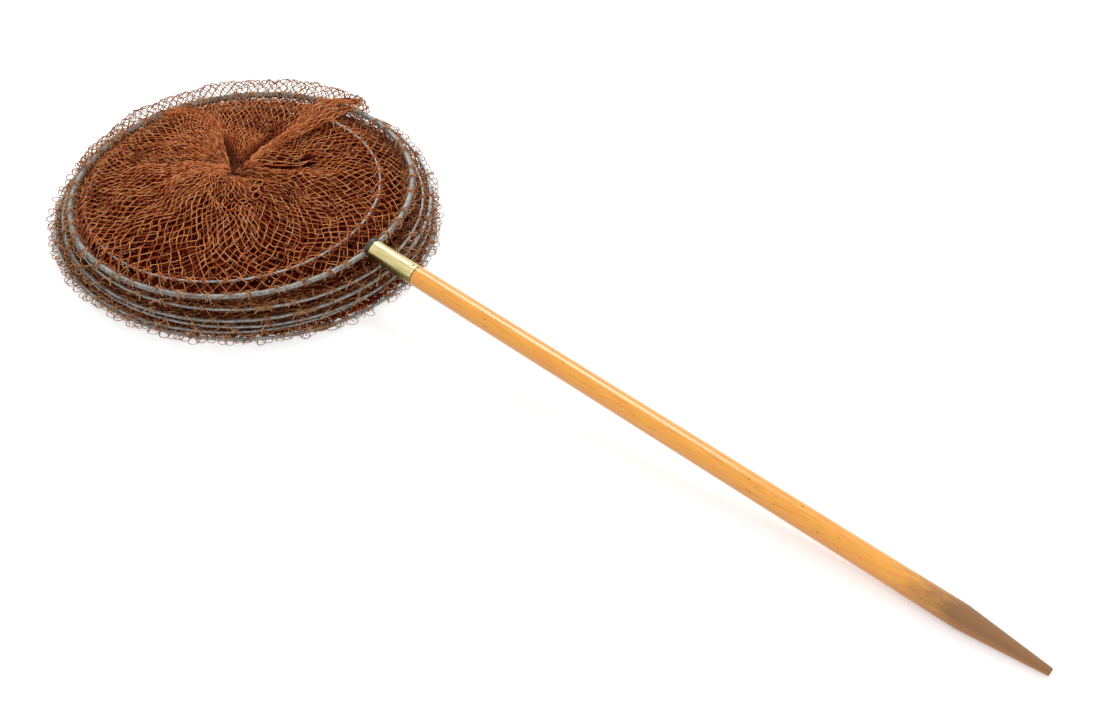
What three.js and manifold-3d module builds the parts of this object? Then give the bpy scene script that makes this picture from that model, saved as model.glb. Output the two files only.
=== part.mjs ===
// A fishing keepnet laid down collapsed: a wooden bank stick carries a wire mouth ring, and a
// bag of netting hangs from the ring, spread by five loose wire hoops and closed by a smaller
// end hoop with a gathered end panel. Millimetres, +Z up, +X from the ring along the stick.
// The origin is the middle of the bounding box, on the floor.
import * as THREE from "three";
import { mergeVertices } from "three/addons/utils/BufferGeometryUtils.js";
import Module from "manifold-3d";

const wasm = await Module();
wasm.setup();

// Fits and facets
const SEAT_GAP = 0.3;
const EDGE_BREAK = 0.4;
const FLOOR_CLEARANCE = 0.1;
const HOOP_STEPS = 48;
const WIRE_SIDES = 6;
const TURNED_SIDES = 24;

// Mouth ring
const MOUTH_RADIUS = 174.5;
const MOUTH_WIRE = 6;
const MOUTH_X = 5;
const MOUTH_Y = -11;
const MOUTH_TILT_X = 3;
const MOUTH_TILT_Y = 2.9;

// Loose hoops from the one under the mouth ring down to the one on the floor: how much wider than
// the mouth ring it is at the wire's centre line, the wire, where the centre lies, how far the
// hoop leans, in degrees, and the place, length and wall of the sleeve that joins its ends
const HOOPS = [
  {
    wider: 6,
    wire: 2.8,
    x: 8,
    y: -7,
    tiltX: 1.4,
    tiltY: 0.8,
    sleeve: { angle: 320, length: 18, wall: 0.8 },
  },
  {
    wider: 15,
    wire: 3.8,
    x: -2,
    y: 3,
    tiltX: 0.5,
    tiltY: 2.8,
    sleeve: { angle: 332, length: 25, wall: 0.8 },
  },
  {
    wider: 15.5,
    wire: 3,
    x: -2,
    y: 3,
    tiltX: 0.1,
    tiltY: 0.6,
    sleeve: { angle: 250, length: 16, wall: 0.7 },
  },
  {
    wider: 16,
    wire: 2.8,
    x: -6,
    y: -4,
    tiltX: 0.1,
    tiltY: 0.4,
    sleeve: { angle: 205, length: 16, wall: 0.7 },
  },
  {
    wider: 20.5,
    wire: 3.4,
    x: 0,
    y: 1,
    tiltX: 0,
    tiltY: 0,
    sleeve: { angle: 337, length: 22, wall: 0.8 },
  },
];
const NET_PINCH = 1;
const SLEEVE_SPLIT = 130;
const SLEEVE_SIDES = 8;

// End hoop, level with the mouth ring and parallel to it, and narrower by this much
const END_INSET = 23.5;
const END_RADIUS = MOUTH_RADIUS - END_INSET;
const END_WIRE = 2.5;
const END_X = -4;
const END_Y = -15;
const END_DROP = 2;
const END_SLEEVE = { angle: 118, length: 14, wall: 0.7 };

// Bank stick: its radii at stations along it, counted from the mouth ring's centre line
const STICK_LENGTH = 757;
const STICK_SHOULDER_RADIUS = 10.2;
const STICK_NEAR = 110;
const STICK_NEAR_RADIUS = 10.6;
const STICK_MIDDLE = 370;
const STICK_MIDDLE_RADIUS = 11.2;
const STICK_TAPER = 85;
const STICK_TAPER_RADIUS = 11.75;
const TIP_RADIUS = 4;
const TIP_FLAT_RADIUS = 2.6;
const TIP_ROUNDING = 1.6;
const TENON_LENGTH = 30;
const BODY_STEPS = 8;
const TIP_STEPS = 3;
const STICK_Y = -4;

// Ferrule, its cross pin and the steel socket piece brazed to the ring
const FERRULE_LENGTH = 54;
const FERRULE_RADIUS = 10.3;
const FERRULE_WALL = 0.8;
const SOCKET_RADIUS = 10.9;
const SOCKET_BEVEL = 1.2;
const SPIGOT_LENGTH = 18;
const PIN_RADIUS = 1.1;
const PIN_FROM_END = 4;
const PIN_DOME = 0.25;

// Netting: plain folded bands between the hoops, and a knotted end panel
const NET_THICKNESS = 0.7;
const NET_SPLIT = 0.65;
const FOLD_DEPTH = 4;
const FOLD_WAVES = 9;
const FOLD_WAVE_DEPTH = 1.5;
const SOCKET_TUCK = 6;
const SOCKET_TUCK_WIDTH = 14;
const END_SECTION_INSET = 19.6;
const PANEL_CORD = 1.3;
const PANEL_THICKNESS = 1.2;
const PANEL_ROWS = 9;
const PANEL_SAG = 10;
const PANEL_PLEATS = 7;
const PANEL_PLEAT_DEPTH = 2.2;
const GATHER_X = -14;
const GATHER_Y = 24;
const GATHER_RADIUS = 17;
const GATHER_WAIST_RADIUS = 5.5;
const GATHER_WAIST_DROP = 7;
const GATHER_TAIL_RADIUS = 8;
const GATHER_TAIL_DROP = 13;
const GATHER_FLUTES = 10;
const GATHER_FLUTE_DEPTH = 0.14;
const TIE_WIRE = 1.6;

const steel = new THREE.MeshStandardMaterial({ color: 0x7d7a72, roughness: 0.45, metalness: 0.9 });
const darkSteel = new THREE.MeshStandardMaterial({ color: 0x4a4742, roughness: 0.5, metalness: 0.9 });
const braze = new THREE.MeshStandardMaterial({ color: 0x8a5a32, roughness: 0.55, metalness: 0.7 });
const brass = new THREE.MeshStandardMaterial({ color: 0xd8b860, roughness: 0.3, metalness: 1 });
const wood = new THREE.MeshStandardMaterial({ color: 0xe0923c, roughness: 0.35, metalness: 0 });
const netting = new THREE.MeshStandardMaterial({
  color: 0x9a4c22,
  roughness: 0.85,
  metalness: 0,
  side: THREE.DoubleSide,
});

const keepnet = new THREE.Group();

function radians(degrees) {
  return THREE.MathUtils.degToRad(degrees);
}

// A named mesh in a group.
function addPiece(group, name, geometry, material) {
  const mesh = new THREE.Mesh(geometry, material);
  mesh.name = name;
  group.add(mesh);
}

// Joins shared corners and keeps only positions, so that the mesh is one closed surface.
function welded(geometry) {
  const bare = geometry.index ? geometry.toNonIndexed() : geometry.clone();
  bare.deleteAttribute("normal");
  bare.deleteAttribute("uv");
  return mergeVertices(bare, 1e-3);
}

function toSolid(geometry) {
  const closed = welded(geometry);
  return new wasm.Manifold(
    new wasm.Mesh({
      numProp: 3,
      vertProperties: closed.getAttribute("position").array,
      triVerts: new Uint32Array(closed.index.array),
    }),
  );
}

function fromSolid(solid) {
  const mesh = solid.getMesh();
  const geometry = new THREE.BufferGeometry();
  geometry.setAttribute("position", new THREE.BufferAttribute(mesh.vertProperties, 3));
  geometry.setIndex(new THREE.BufferAttribute(mesh.triVerts, 1));
  geometry.computeVertexNormals();
  return geometry;
}

// A mesh from corners and triangles, turned so that its faces point out.
function closedMesh(corners, triangles) {
  let volume = 0;
  for (const [a, b, c] of triangles) {
    volume += corners[a].dot(new THREE.Vector3().crossVectors(corners[b], corners[c])) / 6;
  }
  const turned = volume < 0 ? triangles.map(([a, b, c]) => [a, c, b]) : triangles;
  const geometry = new THREE.BufferGeometry().setFromPoints(corners);
  geometry.setIndex(turned.flat());
  geometry.computeVertexNormals();
  return geometry;
}

// A regular outline whose flats face along x, so that a wire swept level has a flat underside.
function wireOutline(radius) {
  const outline = new THREE.Shape();
  for (let i = 0; i < WIRE_SIDES; i++) {
    const angle = ((i + 0.5) / WIRE_SIDES) * 2 * Math.PI;
    const x = radius * Math.cos(angle);
    const y = radius * Math.sin(angle);
    if (i === 0) outline.moveTo(x, y);
    else outline.lineTo(x, y);
  }
  outline.closePath();
  return outline;
}

// An arc in the XY plane, from one angle to another.
class LevelArc extends THREE.Curve {
  constructor(radius, from, to) {
    super();
    Object.assign(this, { radius, from, to });
  }

  getPoint(t, target = new THREE.Vector3()) {
    const angle = THREE.MathUtils.lerp(this.from, this.to, t);
    return target.set(this.radius * Math.cos(angle), this.radius * Math.sin(angle), 0);
  }
}

// A short stretch of a hoop as its chords run, to both sides of the place where its ends meet.
class ChordStretch extends THREE.Curve {
  constructor(radius, middle, half) {
    super();
    Object.assign(this, { radius, middle, half });
  }

  getPoint(t, target = new THREE.Vector3()) {
    const offset = THREE.MathUtils.lerp(-this.half, this.half, t);
    const halfStep = Math.PI / HOOP_STEPS;
    const radius = (this.radius * Math.cos(halfStep)) / Math.cos(Math.abs(offset) - halfStep);
    const angle = this.middle + offset;
    return target.set(radius * Math.cos(angle), radius * Math.sin(angle), 0);
  }
}

// A wire hoop whose two ends face each other across a gap at one angle.
function openHoop(radius, wire, middle, gap) {
  const half = gap / 2 / radius;
  const path = new LevelArc(radius, middle + half, middle + 2 * Math.PI - half);
  return new THREE.ExtrudeGeometry(wireOutline(wire / 2), { steps: HOOP_STEPS, extrudePath: path });
}

// A split sleeve round a wire, open below, where the ends of a hoop meet.
function hoopSleeve(radius, wire, sleeve) {
  const inner = wire / 2 + SEAT_GAP;
  const outer = inner + sleeve.wall;
  const opening = radians(SLEEVE_SPLIT) / 2;
  const outline = new THREE.Shape();
  const sweep = 2 * Math.PI - 2 * opening;
  const corner = (r, i) => {
    const angle = opening + (sweep * i) / SLEEVE_SIDES;
    return new THREE.Vector2(r * Math.cos(angle), r * Math.sin(angle));
  };
  const points = [];
  for (let i = 0; i <= SLEEVE_SIDES; i++) points.push(corner(outer, i));
  for (let i = SLEEVE_SIDES; i >= 0; i--) points.push(corner(inner, i));
  outline.setFromPoints(points);
  const path = new ChordStretch(radius, radians(sleeve.angle), sleeve.length / 2 / radius);
  return new THREE.ExtrudeGeometry(outline, { steps: 2, extrudePath: path });
}

// A group whose XY plane is a hoop's plane: higher towards +X and +Y by the two tilts.
function hoopFrame(x, y, z, tiltX, tiltY) {
  const frame = new THREE.Group();
  const normal = new THREE.Vector3(-Math.tan(radians(tiltX)), -Math.tan(radians(tiltY)), 1);
  frame.position.set(x, y, z);
  frame.quaternion.setFromUnitVectors(new THREE.Vector3(0, 0, 1), normal.normalize());
  frame.updateMatrix();
  keepnet.add(frame);
  return frame;
}

// How far one hoop's centre stands over the next one's, so that the two wires and the netting
// pinched between them just pass where they come closest.
function riseOver(upper, lower) {
  const leanX = Math.tan(radians(upper.tiltX)) - Math.tan(radians(lower.tiltX));
  const leanY = Math.tan(radians(upper.tiltY)) - Math.tan(radians(lower.tiltY));
  const reach = Math.max(upper.radius, lower.radius);
  return (upper.wire + lower.wire) / 2 + NET_PINCH + reach * Math.hypot(leanX, leanY);
}

// Where a hoop's chord lies inside its circle.
function chordSag(radius) {
  return radius * (1 - Math.cos(Math.PI / HOOP_STEPS));
}

// The radius at which netting seats against the inside of a hoop's wire.
function innerSeat(hoop) {
  return hoop.radius - hoop.wire / 2 - SEAT_GAP - chordSag(hoop.radius);
}

// How much further in the netting seats beside the sleeve on a hoop's wire.
function sleeveRelief(hoop, angle) {
  if (!hoop.sleeve) return 0;
  const turn = angle - radians(hoop.sleeve.angle);
  const away = Math.abs(Math.atan2(Math.sin(turn), Math.cos(turn)));
  const near = hoop.sleeve.length / 2 / hoop.radius + (2 * Math.PI) / HOOP_STEPS;
  return away < near ? hoop.sleeve.wall + SEAT_GAP : 0;
}

// A point given in a hoop's plane.
function onHoop(hoop, radius, angle, lift) {
  const point = new THREE.Vector3(radius * Math.cos(angle), radius * Math.sin(angle), lift);
  return point.applyMatrix4(hoop.frame.matrix);
}

const mouth = {
  radius: MOUTH_RADIUS,
  wire: MOUTH_WIRE,
  x: MOUTH_X,
  y: MOUTH_Y,
  tiltX: MOUTH_TILT_X,
  tiltY: MOUTH_TILT_Y,
};
const looseHoops = HOOPS.map((hoop) => ({ ...hoop, radius: MOUTH_RADIUS + hoop.wider }));
const stack = [mouth, ...looseHoops];

// The stack is built up from the hoop on the floor, which stands on the flat of its wire.
function placeStack() {
  let height = 0;
  for (let i = stack.length - 1; i >= 0; i--) {
    const hoop = stack[i];
    const below = stack[i + 1];
    height += below ? riseOver(hoop, below) : (hoop.wire / 2) * Math.cos(Math.PI / WIRE_SIDES);
    hoop.frame = hoopFrame(hoop.x, hoop.y, height, hoop.tiltX, hoop.tiltY);
  }
}

placeStack();

// Where the stick's axis crosses the mouth ring's centre line.
const socketAngle = Math.asin((STICK_Y - MOUTH_Y) / MOUTH_RADIUS);
const socketPoint = onHoop(mouth, MOUTH_RADIUS, socketAngle, 0);

function addHoops() {
  looseHoops.forEach((hoop, i) => {
    const frame = hoop.frame;
    const name = "hoop_" + (i + 1);
    const angle = radians(hoop.sleeve.angle);
    addPiece(frame, name, openHoop(hoop.radius, hoop.wire, angle, SEAT_GAP), steel);
    addPiece(frame, name + "_sleeve", hoopSleeve(hoop.radius, hoop.wire, hoop.sleeve), braze);
  });
}

function addMouthRing() {
  const gap = 2 * (SOCKET_RADIUS + SEAT_GAP);
  const ring = openHoop(MOUTH_RADIUS, MOUTH_WIRE, socketAngle, gap);
  addPiece(mouth.frame, "mouth_ring", ring, steel);
}

const endHoop = { radius: END_RADIUS, wire: END_WIRE, sleeve: END_SLEEVE };

function addEndHoop() {
  const offset = new THREE.Vector3(END_X - MOUTH_X, END_Y - MOUTH_Y, 0);
  const level = onHoop(mouth, offset.length(), Math.atan2(offset.y, offset.x), -END_DROP);
  endHoop.frame = hoopFrame(END_X, END_Y, level.z, MOUTH_TILT_X, MOUTH_TILT_Y);
  const angle = radians(END_SLEEVE.angle);
  addPiece(endHoop.frame, "end_hoop", openHoop(END_RADIUS, END_WIRE, angle, SEAT_GAP), steel);
  const sleeve = hoopSleeve(END_RADIUS, END_WIRE, END_SLEEVE);
  addPiece(endHoop.frame, "end_hoop_sleeve", sleeve, braze);
}

// A closed skin through rings of corners: the last ring joins the first, or both ends are capped.
// Where it wraps, the two sides of its wall are split along the same diagonals.
function skinned(rings, wrap) {
  const count = rings[0].length;
  const corners = rings.flat();
  const triangles = [];
  const spans = wrap ? rings.length : rings.length - 1;
  for (let i = 0; i < spans; i++) {
    const here = i * count;
    const next = ((i + 1) % rings.length) * count;
    for (let j = 0; j < count; j++) {
      const k = (j + 1) % count;
      if (wrap && 2 * j >= count) {
        triangles.push([here + j, next + j, here + k], [here + k, next + j, next + k]);
      } else {
        triangles.push([here + j, next + j, next + k], [here + j, next + k, here + k]);
      }
    }
  }
  if (!wrap) {
    const cap = (ring, start, flip) => {
      const middle = new THREE.Vector3();
      ring.forEach((corner) => middle.addScaledVector(corner, 1 / count));
      corners.push(middle);
      for (let j = 0; j < count; j++) {
        const pair = [start + j, start + ((j + 1) % count)];
        triangles.push([corners.length - 1, ...(flip ? pair.reverse() : pair)]);
      }
    };
    cap(rings[0], 0, false);
    cap(rings.at(-1), (rings.length - 1) * count, true);
  }
  return closedMesh(corners, triangles);
}

// Square to the netting that climbs from a low point to a high one, on the side away from the bag.
function outwardOf(low, high, outward) {
  const climb = high.clone().sub(low);
  const side = outward.clone().multiplyScalar(climb.z);
  side.z = -climb.dot(outward);
  return side.normalize();
}

// A band of netting folded inwards between two hoops, as it lies when the net is put down.
function foldedBand(upper, lower, tuck) {
  const middleX = (upper.x + lower.x) / 2;
  const middleY = (upper.y + lower.y) / 2;
  const half = NET_THICKNESS / 2;
  const rings = [];
  for (let i = 0; i < HOOP_STEPS; i++) {
    const angle = (i / HOOP_STEPS) * 2 * Math.PI;
    const turn = Math.atan2(Math.sin(angle - socketAngle), Math.cos(angle - socketAngle));
    const nearSocket = Math.exp(-((turn / radians(SOCKET_TUCK_WIDTH)) ** 2));
    const wave = FOLD_WAVE_DEPTH * Math.cos(FOLD_WAVES * angle);
    const outward = new THREE.Vector3(Math.cos(angle), Math.sin(angle), 0);
    const inside = (hoop) => {
      const offset = new THREE.Vector3(hoop.x - middleX, hoop.y - middleY, 0);
      return innerSeat(hoop) + offset.dot(outward);
    };
    const foldRadius = Math.min(inside(upper), inside(lower)) - FOLD_DEPTH;
    const radius = foldRadius - wave - tuck * nearSocket;
    const topSeat = innerSeat(upper) - half - sleeveRelief(upper, angle);
    const footSeat = innerSeat(lower) - half - sleeveRelief(lower, angle);
    const top = onHoop(upper, topSeat, angle, -NET_SPLIT);
    const foot = onHoop(lower, footSeat, angle, NET_SPLIT);
    const fold = new THREE.Vector3(
      middleX + radius * Math.cos(angle),
      middleY + radius * Math.sin(angle),
      0,
    );
    const planeHeight = (hoop) => {
      const x = Math.tan(radians(hoop.tiltX)) * (fold.x - hoop.x);
      const y = Math.tan(radians(hoop.tiltY)) * (fold.y - hoop.y);
      return hoop.frame.position.z + x + y;
    };
    fold.z = (planeHeight(upper) + planeHeight(lower)) / 2;
    const upperSide = outwardOf(fold, top, outward);
    const lowerSide = outwardOf(foot, fold, outward);
    rings.push([
      top.clone().addScaledVector(upperSide, -half),
      fold.clone().addScaledVector(outward, -half),
      foot.clone().addScaledVector(lowerSide, -half),
      foot.clone().addScaledVector(lowerSide, half),
      fold.clone().addScaledVector(outward, half),
      top.clone().addScaledVector(upperSide, half),
    ]);
  }
  return skinned(rings, true);
}

// The last band of netting, turned in: along the floor from the lowest hoop, then up to the
// underside of the end hoop.
function endBand() {
  const floorHoop = stack.at(-1);
  const half = NET_THICKNESS / 2;
  const rings = [];
  for (let i = 0; i < HOOP_STEPS; i++) {
    const angle = (i / HOOP_STEPS) * 2 * Math.PI;
    const wave = FOLD_WAVE_DEPTH * Math.cos(FOLD_WAVES * angle);
    const seat = innerSeat(floorHoop) - sleeveRelief(floorHoop, angle);
    const edge = onHoop(floorHoop, seat, angle, -NET_SPLIT);
    const turnRadius = innerSeat(floorHoop) - END_SECTION_INSET - wave;
    const turn = onHoop(floorHoop, turnRadius, angle, -NET_SPLIT);
    const underside = -END_WIRE / 2 - SEAT_GAP - sleeveRelief(endHoop, angle);
    const top = onHoop(endHoop, END_RADIUS - chordSag(END_RADIUS), angle, underside);
    const inward = new THREE.Vector3(-Math.cos(angle), -Math.sin(angle), 0);
    rings.push([
      edge.clone().setZ(edge.z - half),
      edge.clone().setZ(edge.z + half),
      turn.clone().setZ(turn.z + half).addScaledVector(inward, -half),
      top.clone().addScaledVector(inward, -half),
      top.clone().addScaledVector(inward, half),
      turn.clone().setZ(turn.z - half).addScaledVector(inward, half),
    ]);
  }
  return skinned(rings, true);
}

function addNetBands() {
  for (let i = 0; i + 1 < stack.length; i++) {
    const tuck = i === 0 ? SOCKET_TUCK : 0;
    addPiece(keepnet, "net_band_" + (i + 1), foldedBand(stack[i], stack[i + 1], tuck), netting);
  }
  addPiece(keepnet, "net_end_band", endBand(), netting);
}

// A knotted diamond mesh as one plate, laid on a surface that is closed round and runs from
// row 0 to the last row. Knots stand where column plus row is even, with a cord along each edge.
function diamondPlate(columns, rows, surface, cord, thickness) {
  const corners = [];
  const faces = [];
  const index = new Map();
  const stepAt = (u, v) => {
    const v0 = Math.min(v, rows - 0.5);
    const across = surface(u + 1, v).distanceTo(surface(u, v));
    const along = surface(u, v0 + 0.5).distanceTo(surface(u, v0)) * 2;
    return { u: Math.min(0.4, cord / across), v: Math.min(0.3, cord / along) };
  };
  // Sides of a knot: right, top, left and bottom, and the outer edge's own corners.
  const corner = (column, row, side) => {
    const c = (column + columns) % columns;
    const key = c + "," + row + "," + side;
    if (!index.has(key)) {
      const step = stepAt(c, row);
      const edge = row === 0 ? step.v : row === rows ? -step.v : 0;
      const du = side.includes("right") ? step.u : side.includes("left") ? -step.u : 0;
      const dv = side === "top" ? step.v : side === "bottom" ? -step.v : 0;
      const outer = side.startsWith("edge") ? 0 : edge;
      index.set(key, corners.length);
      corners.push([c + du, row + dv + outer]);
    }
    return index.get(key);
  };
  const knot = (c, r) => {
    const sides = ["right", "top", "left", "bottom"];
    if (r === 0) sides.pop();
    if (r === rows) sides.splice(1, 1);
    faces.push(sides.map((side) => corner(c, r, side)));
    if (r > 0 && r < rows) return;
    const strip = [
      [corner(c, r, "edge_left"), corner(c, r, "edge_right"), corner(c, r, "right"), corner(c, r, "left")],
      [
        corner(c, r, "edge_right"),
        corner(c + 2, r, "edge_left"),
        corner(c + 2, r, "left"),
        corner(c, r, "right"),
      ],
    ];
    faces.push(...(r === 0 ? strip : strip.map((face) => face.reverse())));
  };
  const thread = (c, r, lean) => {
    const [near, far] = lean > 0 ? ["right", "left"] : ["left", "right"];
    const face = [
      corner(c, r, near),
      corner(c + lean, r + 1, "bottom"),
      corner(c + lean, r + 1, far),
      corner(c, r, "top"),
    ];
    faces.push(lean > 0 ? face : face.reverse());
  };
  for (let r = 0; r <= rows; r++) {
    for (let c = r % 2; c < columns; c += 2) {
      knot(c, r);
      if (r === rows) continue;
      thread(c, r, 1);
      thread(c, r, -1);
    }
  }
  return thickened(corners, faces, surface, thickness);
}

// Turns faces drawn on a surface into a plate, with a wall along every edge that only one face has.
function thickened(corners, faces, surface, thickness) {
  const reach = 0.05;
  const both = corners.map(([u, v]) => {
    const middle = surface(u, v);
    const across = surface(u + reach, v).sub(surface(u - reach, v));
    const along = surface(u, v + reach).sub(surface(u, v - reach));
    const normal = across.cross(along).normalize();
    return [1, -1].map((side) => middle.clone().addScaledVector(normal, (side * thickness) / 2));
  });
  const points = [...both.map((pair) => pair[0]), ...both.map((pair) => pair[1])];
  const under = corners.length;
  const triangles = [];
  const edges = new Set();
  for (const face of faces) {
    for (let i = 1; i + 1 < face.length; i++) {
      const [a, b, c] = [face[0], face[i], face[i + 1]];
      triangles.push([a, b, c], [a + under, c + under, b + under]);
    }
    face.forEach((a, i) => edges.add(a + "," + face[(i + 1) % face.length]));
  }
  for (const edge of edges) {
    const [a, b] = edge.split(",").map(Number);
    if (edges.has(b + "," + a)) continue;
    triangles.push([a, a + under, b + under], [a, b + under, b]);
  }
  return closedMesh(points, triangles);
}

// The end panel's surface: from the gather in the middle out to the end hoop, sagging between
// them in soft pleats. Rows run outwards and columns run round.
function panelSurface(u, v) {
  const angle = (u / HOOP_STEPS) * 2 * Math.PI;
  const share = v / PANEL_ROWS;
  const rim = innerSeat(endHoop) - sleeveRelief(endHoop, angle);
  const inner = new THREE.Vector3(
    GATHER_X + (GATHER_RADIUS + SEAT_GAP) * Math.cos(angle),
    GATHER_Y + (GATHER_RADIUS + SEAT_GAP) * Math.sin(angle),
    -PANEL_SAG,
  );
  const outer = new THREE.Vector3(rim * Math.cos(angle), rim * Math.sin(angle), 0);
  const point = inner.lerp(outer, share);
  const pleat = PANEL_PLEAT_DEPTH * Math.sin(PANEL_PLEATS * angle);
  point.z += pleat * Math.sin(Math.PI * THREE.MathUtils.clamp(share, 0, 1));
  return point;
}

// The meshes drawn together in the middle of the end panel, waisted where they are tied.
function gatheredBunch() {
  const halfWaist = TIE_WIRE / 2 + SEAT_GAP;
  const levels = [
    [GATHER_RADIUS, PANEL_SAG],
    [GATHER_WAIST_RADIUS, PANEL_SAG + GATHER_WAIST_DROP - halfWaist],
    [GATHER_WAIST_RADIUS, PANEL_SAG + GATHER_WAIST_DROP + halfWaist],
    [GATHER_TAIL_RADIUS, PANEL_SAG + GATHER_TAIL_DROP],
  ];
  const rings = levels.map(([radius, drop], level) => {
    const ring = [];
    for (let i = 0; i < HOOP_STEPS; i++) {
      const angle = (i / HOOP_STEPS) * 2 * Math.PI;
      const flute = level === 0 ? 0 : GATHER_FLUTE_DEPTH * Math.cos(GATHER_FLUTES * angle);
      const r = radius * (1 - Math.abs(flute));
      ring.push(new THREE.Vector3(GATHER_X + r * Math.cos(angle), GATHER_Y + r * Math.sin(angle), -drop));
    }
    return ring;
  });
  return skinned(rings, false);
}

function addEndPanel() {
  const panel = diamondPlate(HOOP_STEPS, PANEL_ROWS, panelSurface, PANEL_CORD, PANEL_THICKNESS);
  addPiece(endHoop.frame, "end_panel", panel, netting);
  addPiece(endHoop.frame, "net_gather", gatheredBunch(), netting);
  const tie = new THREE.TorusGeometry(
    GATHER_WAIST_RADIUS + SEAT_GAP + TIE_WIRE / 2,
    TIE_WIRE / 2,
    WIRE_SIDES,
    TURNED_SIDES,
  );
  tie.translate(GATHER_X, GATHER_Y, -PANEL_SAG - GATHER_WAIST_DROP);
  addPiece(endHoop.frame, "gather_tie", tie, netting);
}

// A piece turned about the stick's axis: pairs of distance along it and radius.
function turned(profile) {
  const points = profile.map(([along, radius]) => new THREE.Vector2(radius, along));
  return new THREE.LatheGeometry(points, TURNED_SIDES).rotateZ(-Math.PI / 2);
}

// Stations along the stick's axis, counted from the mouth ring's centre line.
const SOCKET_BACK = MOUTH_WIRE / 2;
const FERRULE_START = SOCKET_BACK + SEAT_GAP;
const FERRULE_END = FERRULE_START + FERRULE_LENGTH;
const PIN_AT = FERRULE_END - PIN_FROM_END;
const SHOULDER = FERRULE_END + SEAT_GAP;
const TAPER_START = STICK_LENGTH - STICK_TAPER;
const PLUG_RADIUS = FERRULE_RADIUS - FERRULE_WALL - SEAT_GAP;

// The stick slopes down from the ring until the thick end of its taper all but meets the floor.
function stickSlope() {
  const drop = socketPoint.z - FLOOR_CLEARANCE;
  const toTaper = Math.hypot(TAPER_START, STICK_TAPER_RADIUS);
  return Math.asin(drop / toTaper) - Math.atan2(STICK_TAPER_RADIUS, TAPER_START);
}

// Drills the hole for the ferrule's cross pin through a piece.
function drilled(geometry) {
  const radius = PIN_RADIUS + SEAT_GAP / 2;
  const hole = new THREE.CylinderGeometry(radius, radius, 3 * FERRULE_RADIUS, TURNED_SIDES);
  hole.rotateX(Math.PI / 2).translate(PIN_AT, 0, 0);
  return fromSolid(toSolid(geometry).subtract(toSolid(hole)));
}

// The socket piece: a short barrel that the ring's ends are brazed to, with a spigot behind it.
function socketGeometry() {
  const spigotEnd = SOCKET_BACK + SPIGOT_LENGTH;
  return turned([
    [-SOCKET_BACK, 0],
    [-SOCKET_BACK, SOCKET_RADIUS - SOCKET_BEVEL],
    [-SOCKET_BACK + SOCKET_BEVEL, SOCKET_RADIUS],
    [SOCKET_BACK - EDGE_BREAK, SOCKET_RADIUS],
    [SOCKET_BACK, SOCKET_RADIUS - EDGE_BREAK],
    [SOCKET_BACK, PLUG_RADIUS],
    [spigotEnd - EDGE_BREAK, PLUG_RADIUS],
    [spigotEnd, PLUG_RADIUS - EDGE_BREAK],
    [spigotEnd, 0],
  ]);
}

function ferruleGeometry() {
  const bore = FERRULE_RADIUS - FERRULE_WALL;
  return turned([
    [FERRULE_START, bore],
    [FERRULE_START, FERRULE_RADIUS - EDGE_BREAK],
    [FERRULE_START + EDGE_BREAK, FERRULE_RADIUS],
    [FERRULE_END - EDGE_BREAK, FERRULE_RADIUS],
    [FERRULE_END, FERRULE_RADIUS - EDGE_BREAK],
    [FERRULE_END, bore],
    [FERRULE_START, bore],
  ]);
}

// The stick: a tenon in the ferrule, a body that swells gently, a long taper and a blunt tip.
function stickGeometry() {
  const tenonStart = SHOULDER - TENON_LENGTH;
  const body = new THREE.SplineCurve([
    new THREE.Vector2(SHOULDER + EDGE_BREAK, STICK_SHOULDER_RADIUS),
    new THREE.Vector2(STICK_NEAR, STICK_NEAR_RADIUS),
    new THREE.Vector2(STICK_MIDDLE, STICK_MIDDLE_RADIUS),
    new THREE.Vector2(TAPER_START, STICK_TAPER_RADIUS),
  ]);
  const tip = new THREE.QuadraticBezierCurve(
    new THREE.Vector2(STICK_LENGTH - TIP_ROUNDING, TIP_RADIUS),
    new THREE.Vector2(STICK_LENGTH, TIP_RADIUS),
    new THREE.Vector2(STICK_LENGTH, TIP_FLAT_RADIUS),
  );
  return turned([
    [tenonStart, 0],
    [tenonStart, PLUG_RADIUS - EDGE_BREAK],
    [tenonStart + EDGE_BREAK, PLUG_RADIUS],
    [SHOULDER, PLUG_RADIUS],
    [SHOULDER, STICK_SHOULDER_RADIUS - EDGE_BREAK],
    ...body.getPoints(BODY_STEPS).map((point) => point.toArray()),
    ...tip.getPoints(TIP_STEPS).map((point) => point.toArray()),
    [STICK_LENGTH, 0],
  ]);
}

// A straight pin across the ferrule and the tenon, with its ends domed.
function pinGeometry() {
  const pin = turned([
    [-FERRULE_RADIUS - PIN_DOME, 0],
    [-FERRULE_RADIUS, PIN_RADIUS],
    [FERRULE_RADIUS, PIN_RADIUS],
    [FERRULE_RADIUS + PIN_DOME, 0],
  ]);
  return pin.rotateY(Math.PI / 2).translate(PIN_AT, 0, 0);
}

function addStick() {
  const axis = new THREE.Group();
  axis.position.copy(socketPoint);
  axis.rotation.y = stickSlope();
  keepnet.add(axis);
  addPiece(axis, "ring_socket", socketGeometry(), darkSteel);
  addPiece(axis, "ferrule", drilled(ferruleGeometry()), brass);
  addPiece(axis, "bank_stick", drilled(stickGeometry()), wood);
  addPiece(axis, "ferrule_pin", pinGeometry(), darkSteel);
}

addMouthRing();
addHoops();
addEndHoop();
addNetBands();
addEndPanel();
addStick();

// The finished net is moved so that the origin is the middle of its box, on the floor.
const part = new THREE.Group();
part.add(keepnet);
keepnet.updateMatrixWorld(true);
const reach = new THREE.Box3().setFromObject(keepnet, true);
const middle = reach.getCenter(new THREE.Vector3());
keepnet.position.set(-middle.x, -middle.y, -reach.min.z);

export default part;
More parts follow.
